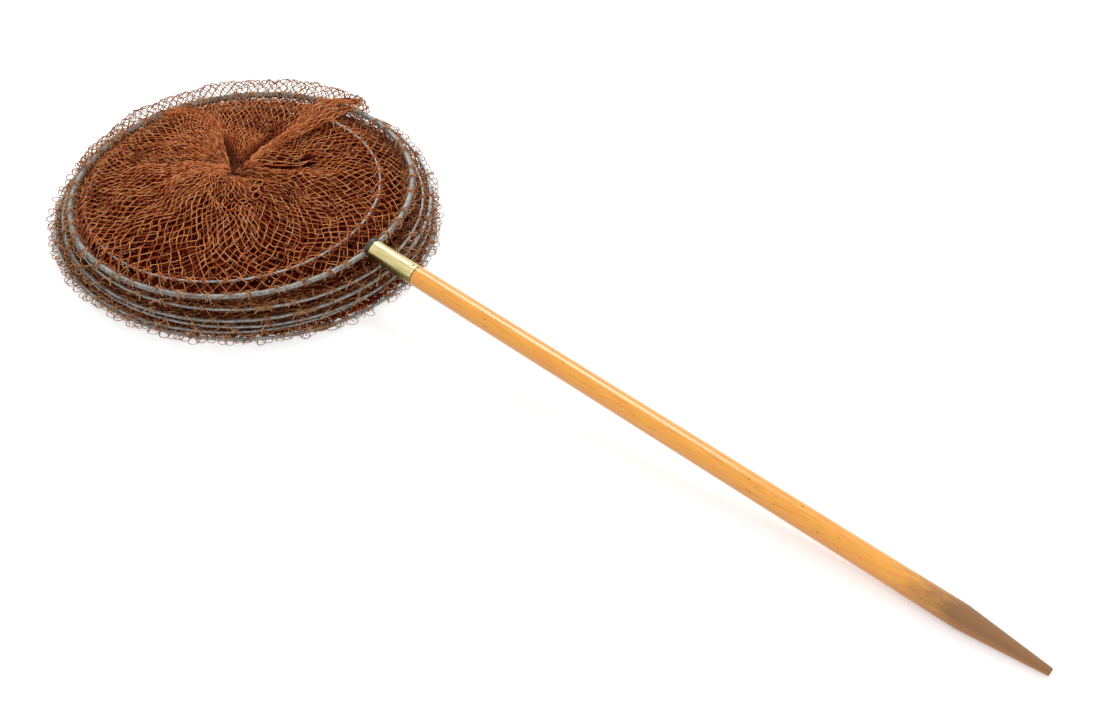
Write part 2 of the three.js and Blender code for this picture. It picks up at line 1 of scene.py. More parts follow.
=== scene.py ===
"""A fishing keepnet laid down collapsed: the finish of its wood, brass and wire, and its netting.

Places are in millimetres in the frame's axes, and become metres when a mesh is made. Azimuths and
phi are in radians. A surface takes u and v from 0 to 1.
"""

import math

import bpy
import numpy as np
from mathutils import Matrix, Vector


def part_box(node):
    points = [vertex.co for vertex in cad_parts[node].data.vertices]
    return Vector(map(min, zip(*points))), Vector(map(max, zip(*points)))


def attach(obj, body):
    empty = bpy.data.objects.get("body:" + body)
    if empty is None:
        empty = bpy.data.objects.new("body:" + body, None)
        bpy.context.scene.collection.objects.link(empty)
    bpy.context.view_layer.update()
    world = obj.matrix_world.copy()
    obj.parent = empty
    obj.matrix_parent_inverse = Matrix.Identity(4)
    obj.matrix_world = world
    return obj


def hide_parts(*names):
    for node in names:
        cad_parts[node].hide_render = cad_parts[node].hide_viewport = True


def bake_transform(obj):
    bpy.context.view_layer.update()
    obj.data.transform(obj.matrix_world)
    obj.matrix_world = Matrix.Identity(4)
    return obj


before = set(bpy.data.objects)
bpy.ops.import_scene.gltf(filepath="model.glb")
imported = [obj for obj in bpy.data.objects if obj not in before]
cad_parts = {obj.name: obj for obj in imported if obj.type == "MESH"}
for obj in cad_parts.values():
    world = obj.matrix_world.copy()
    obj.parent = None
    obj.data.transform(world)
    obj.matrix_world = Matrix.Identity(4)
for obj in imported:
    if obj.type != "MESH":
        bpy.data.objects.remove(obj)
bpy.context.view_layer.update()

MM = 0.001

# Camera: where it stands from the floor hoop's middle, on the floor, and how it is turned
CAMERA_OFFSET = (1197.0, -1092.4, 1207.8)
CAMERA_AZIMUTH = 126.212
CAMERA_PITCH = 40.880
CAMERA_ROLL = 3.472
CAMERA_REACH = 50
LENS_MM = 62.47
SENSOR_MM = 36.0

# Radii of the twine, by where it is used, and of its knots
SHEET_TWINE_RADIUS = 0.56
BACKING_TWINE_RADIUS = 0.52
LASHING_TWINE_RADIUS = 0.5
LOOP_TWINE_RADIUS = 0.43
DEEP_TWINE_RADIUS = 0.85
KNOT_RADIUS = 0.95

# A knot's half length, width and height, by its radius
KNOT_SHAPE = (1.25, 1.0, 0.9)
KNOT_FACES = [[0, 1, 3, 2], [4, 6, 7, 5], [0, 4, 5, 1], [2, 3, 7, 6], [0, 2, 6, 4], [1, 5, 7, 3]]
KNOT_SEED = 3


# Measuring the frame


BODY_OF_HOOP = {
    "mouth_ring": "mouth",
    "hoop_1": "first_hoop",
    "hoop_2": "second_hoop",
    "hoop_3": "third_hoop",
    "hoop_4": "fourth_hoop",
    "hoop_5": "floor_hoop",
    "end_hoop": "net_end",
}
ALL_ROUND = np.radians(np.arange(0, 360, 5))


def node_points(node):
    """A node's vertices in millimetres."""
    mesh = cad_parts[node].data
    flat = np.empty(len(mesh.vertices) * 3)
    mesh.vertices.foreach_get("co", flat)
    return flat.reshape(-1, 3) / MM


def polar(radius, azimuth):
    """Level places at a radius along an azimuth."""
    return np.stack([radius * np.cos(azimuth), radius * np.sin(azimuth)], axis=-1)


def at_height(xy, height):
    """Points over level places."""
    return np.concatenate([xy, height[..., None]], axis=-1)


class Hoop:
    """A wire hoop as its node has it: the middle, the lean, the centre line's radius and the wire."""

    def __init__(self, node):
        points = node_points(node)
        middle = (points.max(axis=0) + points.min(axis=0)) / 2
        flat = points[:, :2] - middle[:2]
        plane = np.c_[flat, np.ones(len(flat))]
        fitted = np.linalg.lstsq(plane, points[:, 2], rcond=None)[0]
        reach = np.hypot(flat[:, 0], flat[:, 1])
        self.middle = middle[:2]
        self.slope = fitted[:2]
        self.height = fitted[2]
        self.radius = reach.mean()
        self.wire = reach.max() - reach.mean()

    def level(self, xy):
        """Height of the hoop's plane over the given places."""
        return self.height + (xy - self.middle) @ self.slope

    def at(self, azimuth, out=0.0, up=0.0):
        """Points out from the centre line and up from it, at these azimuths."""
        xy = self.middle + polar(self.radius + out, azimuth)
        return at_height(xy, self.level(xy) + up)


HOOPS = {name: Hoop(name) for name in BODY_OF_HOOP}
MOUTH_RING, END_HOOP, FLOOR_HOOP = (HOOPS[name] for name in ("mouth_ring", "end_hoop", "hoop_5"))
FLOOR_MIDDLE = np.array([*FLOOR_HOOP.middle, 0.0])


# Small mathematics


def smooth(t):
    t = np.clip(t, 0.0, 1.0)
    return t * t * (3 - 2 * t)


def unsmooth(w):
    """The t whose smooth(t) is w."""
    w = np.clip(w, 0.0, 1.0)
    return 0.5 - np.sin(np.arcsin(1 - 2 * w) / 3)


def mix(a, b, t):
    return a + (b - a) * t


def hill(place, middle, width):
    """1 at the middle, falling away on both sides."""
    return np.exp(-(((place - middle) / width) ** 2))


def within(angle, first, last, soft):
    """1 between two directions in degrees and 0 outside, with soft edges."""
    middle = (first + last) / 2
    half = (last - first) / 2
    apart = np.abs((np.asarray(angle) - middle + 180) % 360 - 180)
    return smooth((half + soft - apart) / (2 * soft))


def shares_along(path):
    """How far along a path each of its points lies, from 0 to 1."""
    lengths = np.r_[0, np.cumsum(np.hypot(*np.diff(path, axis=0).T))]
    return lengths / lengths[-1]


def unit(vectors):
    return vectors / np.maximum(np.linalg.norm(vectors, axis=-1, keepdims=True), 1e-9)


class Crumple:
    """A smooth random shift of places, the same for all that lies at one place."""

    def __init__(self, seed, waves, shortest, longest):
        rng = np.random.default_rng(seed)
        directions = rng.normal(size=(waves, 3))
        directions /= np.linalg.norm(directions, axis=1)[:, None]
        lengths = rng.uniform(shortest, longest, waves)
        self.numbers = directions * (2 * math.pi / lengths)[:, None]
        self.phases = rng.uniform(0, 2 * math.pi, waves)
        self.ways = rng.normal(size=(waves, 3)) / math.sqrt(waves)

    def __call__(self, places, amount):
        shift = np.sin(places @ self.numbers.T + self.phases) @ self.ways
        return places + shift * amount


# Making meshes of twine


def in_scene(name, data):
    """A new object of the data, in the scene."""
    made = bpy.data.objects.new(name, data)
    bpy.context.scene.collection.objects.link(made)
    return made


class Twine:
    """Collects tubes and knots, all of one piece, and makes its mesh.

    Twine of a stretch that is drawn out upwards lies flat at rest, by the share flat.
    """

    def __init__(self, flat=1.0):
        self.squeeze = np.array([1.0, 1.0, flat])
        self.points = []
        self.quads = []
        self.tints = []
        self.count = 0

    def _add(self, points, quads, tints):
        points = points.reshape(-1, 3).copy()
        points[:, 2] = np.maximum(points[:, 2], 0.0)
        self.points.append(points)
        self.quads.append(quads.reshape(-1, 4) + self.count)
        self.tints.append(np.asarray(tints, float).reshape(-1))
        self.count += len(self.points[-1])

    def tubes(self, paths, radius, tints, sides=4):
        """Tubes along paths of shape (number, steps, 3), shut at both ends if they have 4 sides."""
        number, steps, _ = paths.shape
        if number == 0:
            return
        along = unit(np.gradient(paths, axis=1))
        across = np.empty_like(paths)
        level = np.abs(along[:, 0, 2:3]) < 0.8
        guess = np.where(level, [[0.0, 0.0, 1.0]], [[1.0, 0.0, 0.0]])
        across[:, 0] = unit(np.cross(along[:, 0], guess))
        for step in range(1, steps):
            last = across[:, step - 1]
            lean = (last * along[:, step]).sum(axis=-1, keepdims=True)
            across[:, step] = unit(last - lean * along[:, step])
        other = np.cross(along, across)
        angle = np.arange(sides) * (2 * math.pi / sides)
        ring = (
            np.cos(angle)[:, None] * across[:, :, None, :]
            + np.sin(angle)[:, None] * other[:, :, None, :]
        )
        points = paths[:, :, None, :] + ring * radius * self.squeeze
        start = np.arange(number)[:, None, None] * steps * sides
        step = np.arange(steps - 1)[None, :, None] * sides
        side = np.arange(sides)[None, None, :]
        turn = (side + 1) % sides
        here = start + step
        corners = (here + side, here + turn, here + sides + turn, here + sides + side)
        quads = np.stack(np.broadcast_arrays(*corners), axis=-1)
        self._add(points, quads, np.repeat(tints, steps * sides))
        if sides == 4:
            self._cap(number, steps)

    def _cap(self, number, steps):
        """Shuts the ends of the four-sided tubes added last."""
        first = self.count - number * steps * 4 + np.arange(number) * steps * 4
        last = first + (steps - 1) * 4
        self.quads.append(np.stack([first + 3, first + 2, first + 1, first], axis=-1))
        self.quads.append(np.stack([last, last + 1, last + 2, last + 3], axis=-1))

    def knots(self, places, radius, tints, seed):
        """A small rounded block at each place, turned at random."""
        number = len(places)
        if number == 0:
            return
        rng = np.random.default_rng(seed)
        first = unit(rng.normal(size=(number, 3)))
        second = unit(np.cross(first, rng.normal(size=(number, 3))))
        axes = np.stack([first, second, np.cross(first, second)], axis=1)
        axes = axes * np.reshape(KNOT_SHAPE, (3, 1))
        ends = (-1, 1)
        corners = np.array([[x, y, z] for x in ends for y in ends for z in ends]) / math.sqrt(3)
        blocks = np.einsum("kc,ncx->nkx", corners, axes)
        quads = np.arange(number)[:, None, None] * len(corners) + np.array(KNOT_FACES)
        points = places[:, None, :] + blocks * radius * self.squeeze
        self._add(points, quads, np.repeat(tints, len(corners)))

    def build(self, name, finish):
        points = np.concatenate(self.points) * MM
        quads = np.concatenate(self.quads)
        mesh = bpy.data.meshes.new(name)
        mesh.vertices.add(len(points))
        mesh.vertices.foreach_set("co", points.ravel())
        mesh.loops.add(quads.size)
        mesh.loops.foreach_set("vertex_index", quads.ravel().astype(np.int32))
        mesh.polygons.add(len(quads))
        mesh.polygons.foreach_set("loop_start", (np.arange(len(quads)) * 4).astype(np.int32))
        mesh.polygons.foreach_set("use_smooth", np.ones(len(quads), bool))
        tint = mesh.attributes.new("tint", "FLOAT", "POINT")
        tint.data.foreach_set("value", np.concatenate(self.tints).astype(np.float32))
        mesh.update(calc_edges=True)
        mesh.validate()
        mesh.materials.append(finish)
        return in_scene(name, mesh)


def add_riding(twine, name, finish, body, *nodes):
    """Makes a piece of the twine, which rides on a body and may stand for some nodes."""
    piece = twine.build(name, finish)
    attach(piece, body)
    if nodes:
        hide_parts(*nodes)


# Diamond netting on a surface


def even(places):
    return 1.0


def everywhere(u, v):
    return slice(None)


class Net:
    """Knotted diamond netting on surface(u, v): rows of knots, each half a mesh on from the last.

    On a closed net u runs once round.
    """

    def __init__(self, surface, meshes, rows, seed, closed=True):
        self.surface = surface
        self.meshes = meshes
        self.rows = rows
        self.closed = closed
        self.rng = np.random.default_rng(seed)

    def shift(self, row):
        return 0.5 * (row % 2)

    def knots(self):
        found = []
        for row in range(self.rows + 1):
            u = (np.arange(self.meshes) + self.shift(row)) / self.meshes
            found.append(np.stack([u, np.full(self.meshes, row / self.rows)], axis=-1))
        return np.concatenate(found)

    def bars(self):
        """Pairs of (u, v) places that a bar of twine joins."""
        found = []
        for row in range(self.rows):
            here = np.arange(self.meshes) + self.shift(row)
            for way in (-0.5, 0.5):
                there = here + way
                first = (here / self.meshes, row / self.rows)
                last = (there / self.meshes, (row + 1) / self.rows)
                pair = np.stack(np.broadcast_arrays(*first, *last), axis=-1)
                if not self.closed:
                    column = there - self.shift(row + 1)
                    pair = pair[(column >= 0) & (column < self.meshes)]
                found.append(pair)
        return np.concatenate(found)

    def weave(self, twine, radius, steps, sides=4, bow=0.0, knot=0.0, tint=even, keep=everywhere):
        """Adds the bars as tubes, each bowed a little its own way, and the knots."""
        pairs = self.bars()
        pairs = pairs[keep((pairs[:, 0] + pairs[:, 2]) / 2, (pairs[:, 1] + pairs[:, 3]) / 2)]
        t = np.linspace(0, 1, steps + 1)
        u = mix(pairs[:, 0:1], pairs[:, 2:3], t)
        v = mix(pairs[:, 1:2], pairs[:, 3:4], t)
        sway = self.rng.normal(size=(len(pairs), 1, 3)) * bow * twine.squeeze
        paths = self.surface(u, v) + sway * np.sin(math.pi * t)[None, :, None]
        # Each bar's random shade is its own tone; tint multiplies in painted shade where it is given.
        shade = self.rng.uniform(0.2, 1, len(pairs)) * tint(paths[:, steps // 2])
        twine.tubes(paths, radius, shade, sides)
        if knot:
            at = self.knots()
            at = at[keep(at[:, 0], at[:, 1])]
            places = self.surface(at[:, 0], at[:, 1])
            shade = self.rng.uniform(0.35, 1, len(at)) * tint(places)
            twine.knots(places, knot, shade, KNOT_SEED)


# Shader nodes


def set_inputs(node, values):
    for socket, value in values.items():
        node.inputs[socket].default_value = value


def material(name, **values):
    """A new material with its shader's inputs set, where _ stands for a space."""
    made = bpy.data.materials.new(name)
    made.use_nodes = True
    shader = made.node_tree.nodes["Principled BSDF"]
    set_inputs(shader, {socket.replace("_", " "): value for socket, value in values.items()})
    return made, made.node_tree, shader


def ramp(tree, source, stops):
    """A colour ramp fed by source, with stops of (place, (r, g, b))."""
    node = tree.nodes.new("ShaderNodeValToRGB")
    elements = node.color_ramp.elements
    while len(elements) < len(stops):
        elements.new(0.5)
    for element, (place, colour) in zip(elements, stops):
        element.position = place
        element.color = (*colour, 1)
    tree.links.new(source, node.inputs["Fac"])
    return node.outputs["Color"]


def given(tree, kind, output):
    """What a node without inputs gives."""
    return tree.nodes.new(f"ShaderNode{kind}").outputs[output]


def separated(tree, vector, axis):
    """One of a vector's X, Y and Z."""
    parts = tree.nodes.new("ShaderNodeSeparateXYZ")
    tree.links.new(vector, parts.inputs["Vector"])
    return parts.outputs[axis]


def noise(tree, scale, detail=3.0, roughness=0.55, stretch=1.0):
    """Noise over the object's places in metres. A stretch below 1 draws it out along X."""
    mapping = tree.nodes.new("ShaderNodeMapping")
    mapping.inputs["Scale"].default_value = (stretch, 1, 1)
    tree.links.new(given(tree, "TexCoord", "Object"), mapping.inputs["Vector"])
    node = tree.nodes.new("ShaderNodeTexNoise")
    set_inputs(node, {"Scale": scale, "Detail": detail, "Roughness": roughness})
    tree.links.new(mapping.outputs["Vector"], node.inputs["Vector"])
    return node.outputs["Fac"]


def spread(tree, source, low, high, to_low, to_high):
    """Source between low and high becomes a value between to_low and to_high."""
    node = tree.nodes.new("ShaderNodeMapRange")
    set_inputs(node, {"From Min": low, "From Max": high, "To Min": to_low, "To Max": to_high})
    tree.links.new(source, node.inputs["Value"])
    return node.outputs["Result"]


def calculated(tree, operation, *values, kind="Math", output="Value"):
    """What a mathematical node makes of outputs and plain values."""
    node = tree.nodes.new(f"ShaderNode{kind}")
    node.operation = operation
    for socket, value in zip(node.inputs, values):
        if isinstance(value, (float, tuple)):
            socket.default_value = value
        else:
            tree.links.new(value, socket)
    return node.outputs[output]


def blended(tree, amount, first, second, how="MIX"):
    node = tree.nodes.new("ShaderNodeMix")
    node.data_type = "RGBA"
    node.blend_type = how
    for socket, value in (("Factor_Float", amount), ("A_Color", first), ("B_Color", second)):
        target = next(s for s in node.inputs if s.identifier == socket)
        if isinstance(value, float):
            target.default_value = value
        elif isinstance(value, tuple):
            target.default_value = (*value, 1)
        else:
            tree.links.new(value, target)
    return next(s for s in node.outputs if s.identifier == "Result_Color")


def coat(tree, colour, source, start, full, amount, over):
    """Lays a colour over another where source goes from start, none of it, to full, the amount."""
    return blended(tree, spread(tree, source, start, full, 0.0, amount), colour, over)


def vectors(tree, operation, *values):
    return calculated(tree, operation, *values, kind="VectorMath", output="Vector")


def dot_product(tree, first, second):
    return calculated(tree, "DOT_PRODUCT", first, second, kind="VectorMath")


def round_normal(tree, axis):
    """Normals of a true round about an axis (point and direction), but on the flat ends as they are.

    Also gives how far the surface faces up, and the place along the axis.
    """
    point, direction = axis
    away = vectors(tree, "SUBTRACT", given(tree, "TexCoord", "Object"), point)
    share = dot_product(tree, away, direction)
    along = vectors(tree, "MULTIPLY", direction, share)
    turned = vectors(tree, "NORMALIZE", vectors(tree, "SUBTRACT", away, along))
    flat = given(tree, "NewGeometry", "True Normal")
    facing = calculated(tree, "ABSOLUTE", dot_product(tree, flat, direction))
    at_end = spread(tree, facing, 0.5, 0.8, 0.0, 1.0)
    return blended(tree, at_end, turned, flat), separated(tree, turned, "Z"), share


def finish(tree, shader, colour, height, strength, distance, normal=None):
    """Gives the shader its colour and its bumps."""
    tree.links.new(colour, shader.inputs["Base Color"])
    node = tree.nodes.new("ShaderNodeBump")
    if normal is not None:
        tree.links.new(normal, node.inputs["Normal"])
    set_inputs(node, {"Strength": strength, "Distance": distance})
    tree.links.new(height, node.inputs["Height"])
    tree.links.new(node.outputs["Normal"], shader.inputs["Normal"])


# Materials


TWINE_MOTTLE = [(0.35, (0.72, 0.68, 0.66)), (0.68, (1.12, 1.1, 1.06))]
BRASS_STREAKS = [(0.25, (0.55, 0.44, 0.17)), (0.75, (0.86, 0.76, 0.4))]
# A painted dark reflection on the ferrule's lower side
BRASS_DARK_REFLECTION = (0.2, 0.16, 0.045)
BRASS_SPOTS = (0.3, 0.2, 0.07)
SLEEVE_MOTTLE = [(0.3, (0.09, 0.045, 0.02)), (0.55, (0.27, 0.14, 0.06)), (0.75, (0.42, 0.3, 0.16))]
WOOD_GRAIN = [
    (0.2, (0.66, 0.19, 0.018)),
    (0.42, (0.95, 0.37, 0.03)),
    (0.6, (1.0, 0.44, 0.04)),
    (0.85, (1.0, 0.54, 0.09)),
]
# Broad bands, streaks and specks over the grain: the noise, where it starts and is full, how much
# there is of it, and its colour
WOOD_LAYERS = [
    ((28.0, 3.0, 0.55, 0.3), 0.35, 0.7, 0.4, (0.98, 0.4, 0.05)),
    ((900.0, 2.0, 0.55, 0.02), 0.62, 0.72, 0.55, (0.42, 0.14, 0.02)),
    ((420.0, 2.0, 0.4, 0.5), 0.7, 0.76, 0.8, (0.16, 0.06, 0.015)),
]
WOOD_WORN = (0.17, 0.075, 0.03)
# Painted shade on the stick's lower side
WOOD_UNDERSIDE_SHADE = (0.6, 0.2, 0.025)
WOOD_JOINT = (0.03, 0.012, 0.005)
# Where the wear starts and is full, in metres from the stick's point, and how ragged its edge is
WEAR_START, WEAR_FULL, WEAR_RAGGED = -0.11, -0.045, 0.09
# The dark line past the ferrule's end, in metres
JOINT_DARK, JOINT_END = 0.0009, 0.0024


def twine_material(name, dark, middle, light, gloss):
    """Tanned twine: each bar has its own shade, with a fine mottle and a twist in the bump. The
    darkest stop is painted shade for twine lying deep in a crease.
    """
    made, tree, shader = material(name, Roughness=0.7, Specular_IOR_Level=gloss)
    attribute = tree.nodes.new("ShaderNodeAttribute")
    attribute.attribute_name = "tint"
    # The tint attribute is each bar's own random shade, times painted shade where the netting lies in
    # a crease. The lowest stop, well below dark, is that painted crease shade.
    crease_shade_colour = tuple(0.22 * value for value in dark)
    shades = [(0.0, crease_shade_colour), (0.25, dark), (0.6, middle), (1.0, light)]
    colour = ramp(tree, attribute.outputs["Fac"], shades)
    mottle = ramp(tree, noise(tree, 320.0), TWINE_MOTTLE)
    colour = blended(tree, 1.0, colour, mottle, "MULTIPLY")
    finish(tree, shader, colour, noise(tree, 2600.0, 2.0), 0.35, 0.0004)
    return made


def wire_material(name, dark, light, patch, roughness):
    """Old wire: mottled grey, darker on its sides and underside as painted shade, and with brown
    tarnish in patches.
    """
    made, tree, shader = material(name, Metallic=0.4)
    mottle = noise(tree, 260.0, 5.0, 0.65)
    colour = ramp(tree, mottle, [(0.32, dark), (0.68, light)])
    upward = separated(tree, given(tree, "NewGeometry", "Normal"), "Z")
    # Painted shade: darker where the wire faces sideways and down
    colour = coat(tree, colour, upward, 0.62, 0.2, 0.9, tuple(0.35 * value for value in dark))
    colour = coat(tree, colour, noise(tree, 38.0, 4.0, 0.6), 0.55, 0.7, 0.75, patch)
    rough = spread(tree, mottle, 0.3, 0.7, roughness + 0.12, roughness - 0.1)
    tree.links.new(rough, shader.inputs["Roughness"])
    finish(tree, shader, colour, mottle, 0.35, 0.0006)
    return made


def brass_material(axis):
    """Worn polished brass tube, a little duller in streaks along its length, with a painted dark
    reflection on its lower side.
    """
    made, tree, shader = material("ferrule_brass", Metallic=1.0)
    streak = noise(tree, 420.0, stretch=0.12)
    normal, upward, _ = round_normal(tree, axis)
    # Painted dark reflection: dark olive where the tube faces down
    colour = coat(tree, ramp(tree, streak, BRASS_STREAKS), upward, 0.5, 0.3, 0.85, BRASS_DARK_REFLECTION)
    colour = coat(tree, colour, noise(tree, 150.0, 4.0, 0.7), 0.62, 0.75, 0.6, BRASS_SPOTS)
    tree.links.new(spread(tree, streak, 0.2, 0.8, 0.36, 0.2), shader.inputs["Roughness"])
    finish(tree, shader, colour, streak, 0.1, 0.0002, normal)
    return made


def sleeve_material():
    made, tree, shader = material("brazed_sleeve", Metallic=0.6, Roughness=0.5)
    mottle = noise(tree, 240.0, 5.0, 0.7)
    finish(tree, shader, ramp(tree, mottle, SLEEVE_MOTTLE), mottle, 0.5, 0.0008)
    return made


def wood_material(tip_x, axis, seam):
    """Varnished wood with long grain and fine specks, worn brown towards the point, and painted shade
    on its lower side.
    """
    made, tree, shader = material("stick_wood", Coat_Weight=0.6, Coat_Roughness=0.12)
    grain = noise(tree, 520.0, 5.0, 0.6, 0.035)
    colour = ramp(tree, grain, WOOD_GRAIN)
    for pattern, start, full, amount, over in WOOD_LAYERS:
        colour = coat(tree, colour, noise(tree, *pattern), start, full, amount, over)
    along_x = separated(tree, given(tree, "TexCoord", "Object"), "X")
    edge = noise(tree, 110.0, 4.0, 0.65, 0.35)
    ragged = calculated(tree, "MULTIPLY_ADD", edge, WEAR_RAGGED, along_x)
    worn = spread(tree, ragged, tip_x + WEAR_START, tip_x + WEAR_FULL, 0.0, 0.85)
    colour = blended(tree, worn, colour, WOOD_WORN)
    normal, upward, along = round_normal(tree, axis)
    # Painted shade: darker where the stick faces down
    colour = coat(tree, colour, upward, 0.45, -0.2, 0.5, WOOD_UNDERSIDE_SHADE)
    colour = coat(tree, colour, along, seam + JOINT_END, seam + JOINT_DARK, 0.92, WOOD_JOINT)
    tree.links.new(spread(tree, worn, 0.0, 0.85, 0.28, 0.7), shader.inputs["Roughness"])
    finish(tree, shader, colour, grain, 0.12, 0.0005, normal)
    return made


# Each twine's dark, middle and light shades, and its gloss. All four are copies of one twine: top has
# its own colours; band and deep are darker copies, painted shade for netting that lies in shadow;
# edge is a lighter copy, painted light for thin twine lit from all sides.
SHADED_BAND_TWINE, TOP_TWINE, SHADED_DEEP_TWINE, LIT_EDGE_TWINE = (
    twine_material(f"twine_{name}", *shades)
    for name, *shades in (
        ("band", (0.11, 0.014, 0.003), (0.31, 0.072, 0.019), (0.66, 0.3, 0.125), 0.15),
        ("top", (0.4, 0.075, 0.015), (0.65, 0.18, 0.045), (0.92, 0.42, 0.17), 0.25),
        ("deep", (0.08, 0.004, 0.0008), (0.17, 0.014, 0.002), (0.3, 0.04, 0.007), 0.05),
        ("edge", (0.28, 0.095, 0.034), (0.52, 0.22, 0.085), (0.78, 0.44, 0.22), 0.3),
    )
)

# Each wire's dark and light shades, its tarnish and its roughness
WIRES = {
    "ring_wire": ((0.12, 0.113, 0.1), (0.47, 0.46, 0.43), (0.13, 0.07, 0.03), 0.4),
    "hoop_wire": ((0.17, 0.16, 0.145), (0.6, 0.59, 0.55), (0.16, 0.09, 0.04), 0.34),
    "socket_steel": ((0.035, 0.034, 0.03), (0.11, 0.105, 0.09), (0.06, 0.035, 0.02), 0.5),
}


def stick_axis():
    """A point in metres on the bank stick's axis, and the axis's direction."""
    points = node_points("bank_stick")
    middle = points.mean(axis=0)
    direction = np.linalg.svd(points - middle, full_matrices=False)[2][0]
    return tuple(middle * MM), tuple(direction * np.sign(direction[0]))


def paint_cad():
    """Gives every CAD piece that stays in view its finish."""
    ring, hoop, steel = (wire_material(name, *shades) for name, shades in WIRES.items())
    sleeve = sleeve_material()
    axis = stick_axis()
    past = node_points("ferrule") * MM - np.array(axis[0])
    seam = float((past @ np.array(axis[1])).max())
    finishes = {
        "mouth_ring": ring,
        "end_hoop": hoop,
        "end_hoop_sleeve": sleeve,
        "ring_socket": steel,
        "ferrule": brass_material(axis),
        "ferrule_pin": steel,
        "bank_stick": wood_material(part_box("bank_stick")[1][0], axis, seam),
    }
    for number in range(1, 6):
        finishes[f"hoop_{number}"] = hoop
        finishes[f"hoop_{number}_sleeve"] = sleeve
    for node, made in finishes.items():
        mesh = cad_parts[node].data
        mesh.materials.clear()
        mesh.materials.append(made)


# The bag between the hoops

BAG_MESHES = 90
BAND_ROWS = 30
BAND_FOLDS = 3
# How deep each stretch is folded in, and the steps of its bars, from the mouth ring down
BANDS = [(4, 3), (7, 3), (9, 2), (9, 2), (11, 2)]
# From this stretch down, a second layer shows behind the first
FIRST_DOUBLED = 4
SLACK_ROWS = 4
SLACK_SHARE = 0.75
# How far the netting's tied edge lies above a wire's centre line, or below the next one's
TIE_RISE = 0.2
TIE_INSET = 0.6
# How far the folded netting keeps from the wires, upwards and inwards
WIRE_MARGIN = 0.3
WIRE_INSET = 2.0
# How flat the twine lies, for each mm of its gap. Lifted by 220 mm, it is about as high as wide.
FLATTEST = 0.006
FLAT_TWINE_RADIUS = 0.72


class Window:
    """The level gap between two leaning hoops, where the netting between them stretches."""

    def __init__(self, lower, upper):
        self.slope = (lower.slope + upper.slope) / 2
        self.first = self.raised(lower.at(ALL_ROUND)).max() + WIRE_MARGIN
        self.last = self.raised(upper.at(ALL_ROUND)).min() - WIRE_MARGIN

    def raised(self, places):
        """Height above the slanting plane through the frame's origin."""
        return places[..., 2] - places[..., :2] @ self.slope

    def lift(self, xy, height):
        """Points over xy at a height above that plane."""
        return at_height(xy, height + xy @ self.slope)

    def ends(self):
        """Start and end points, square to the plane."""
        normal = unit(np.array([*-self.slope, 1.0]))
        return [tuple(normal * height * normal[2] * MM) for height in (self.first, self.last)]


def reach_to(hoop, middle, azimuth):
    """About how far a hoop's centre line lies from a middle, along these azimuths."""
    offset = hoop.middle - middle
    return hoop.radius + offset[0] * np.cos(azimuth) + offset[1] * np.sin(azimuth)


def band_surface(lower, upper, window, seed, depth):
    """The netting from one hoop up to the next, folded in and out in the gap between them."""
    crumple = Crumple(seed, 14, 14.0, 60.0)
    phases = np.random.default_rng(seed).uniform(0, 2 * math.pi, 2)
    middle = (lower.middle + upper.middle) / 2
    slack = SLACK_ROWS / BAND_ROWS

    def height_at(azimuth, loose):
        """It rises through the gap, but for the slack rows, which lie by the wires."""
        share = np.clip((loose - slack) / (1 - 2 * slack), 0, 1)
        height = mix(window.first, window.last, unsmooth(share))
        bulge = np.maximum(slack - loose, 0) + np.minimum(1 - slack - loose, 0)
        low = window.raised(lower.at(azimuth))
        high = window.raised(upper.at(azimuth))
        room = np.where(bulge > 0, height - low, high - height)
        return height - bulge / slack * np.maximum(room - 1.0, 0) * SLACK_SHARE

    def surface(u, v):
        azimuth = 2 * math.pi * u
        loose = np.clip((v * BAND_ROWS - 1) / (BAND_ROWS - 2), 0, 1)
        wave = 0.5 - 0.5 * np.cos(2 * math.pi * BAND_FOLDS * loose)
        sway = 1 + 0.3 * np.sin(2 * azimuth + phases[0])
        sway = sway + 0.22 * np.sin(5 * azimuth + phases[1] + 6 * loose)
        near, far = (reach_to(hoop, middle, azimuth) for hoop in (lower, upper))
        radius = np.minimum(near, far) - lower.wire - WIRE_INSET - depth * sway * wave
        places = window.lift(middle + polar(radius, azimuth), height_at(azimuth, loose))
        shifted = crumple(places, 1.3)
        places = np.concatenate([shifted[..., :2], places[..., 2:]], axis=-1)
        tied_low = np.clip(1 - v * BAND_ROWS, 0, 1)[..., None]
        tied_high = np.clip(1 - (1 - v) * BAND_ROWS, 0, 1)[..., None]
        places = mix(places, lower.at(azimuth, out=-lower.wire * TIE_INSET, up=TIE_RISE), tied_low)
        return mix(places, upper.at(azimuth, out=-upper.wire * TIE_INSET, up=-TIE_RISE), tied_high)

    return surface


def make_band(number, depth, steps):
    """Netting band number runs from hoop number up to the one above it."""
    low_name = f"hoop_{number}"
    high_name = "mouth_ring" if number == 1 else f"hoop_{number - 1}"
    lower, upper = HOOPS[low_name], HOOPS[high_name]
    window = Window(lower, upper)
    # Name, seeds of the surface and the net, depth of the folds, steps, sides, bow and knots
    layers = [("netting_band", 10, 20, depth, steps, 4, 0.5, KNOT_RADIUS)]
    if number >= FIRST_DOUBLED:
        layers.append(("netting_inner_band", 60, 65, depth * 0.5, 2, 3, 0.7, 0.0))
    for name, surface_seed, net_seed, deep, bar_steps, sides, bow, knot in layers:
        surface = band_surface(lower, upper, window, surface_seed + number, deep)
        net = Net(surface, BAG_MESHES, BAND_ROWS, net_seed + number)
        twine = Twine(flat=FLATTEST * (window.last - window.first))
        net.weave(twine, FLAT_TWINE_RADIUS, bar_steps, sides, bow=bow, knot=knot)
        piece = twine.build(f"{name}_{number}", SHADED_BAND_TWINE)
        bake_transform(piece)
        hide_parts(f"net_band_{number}")


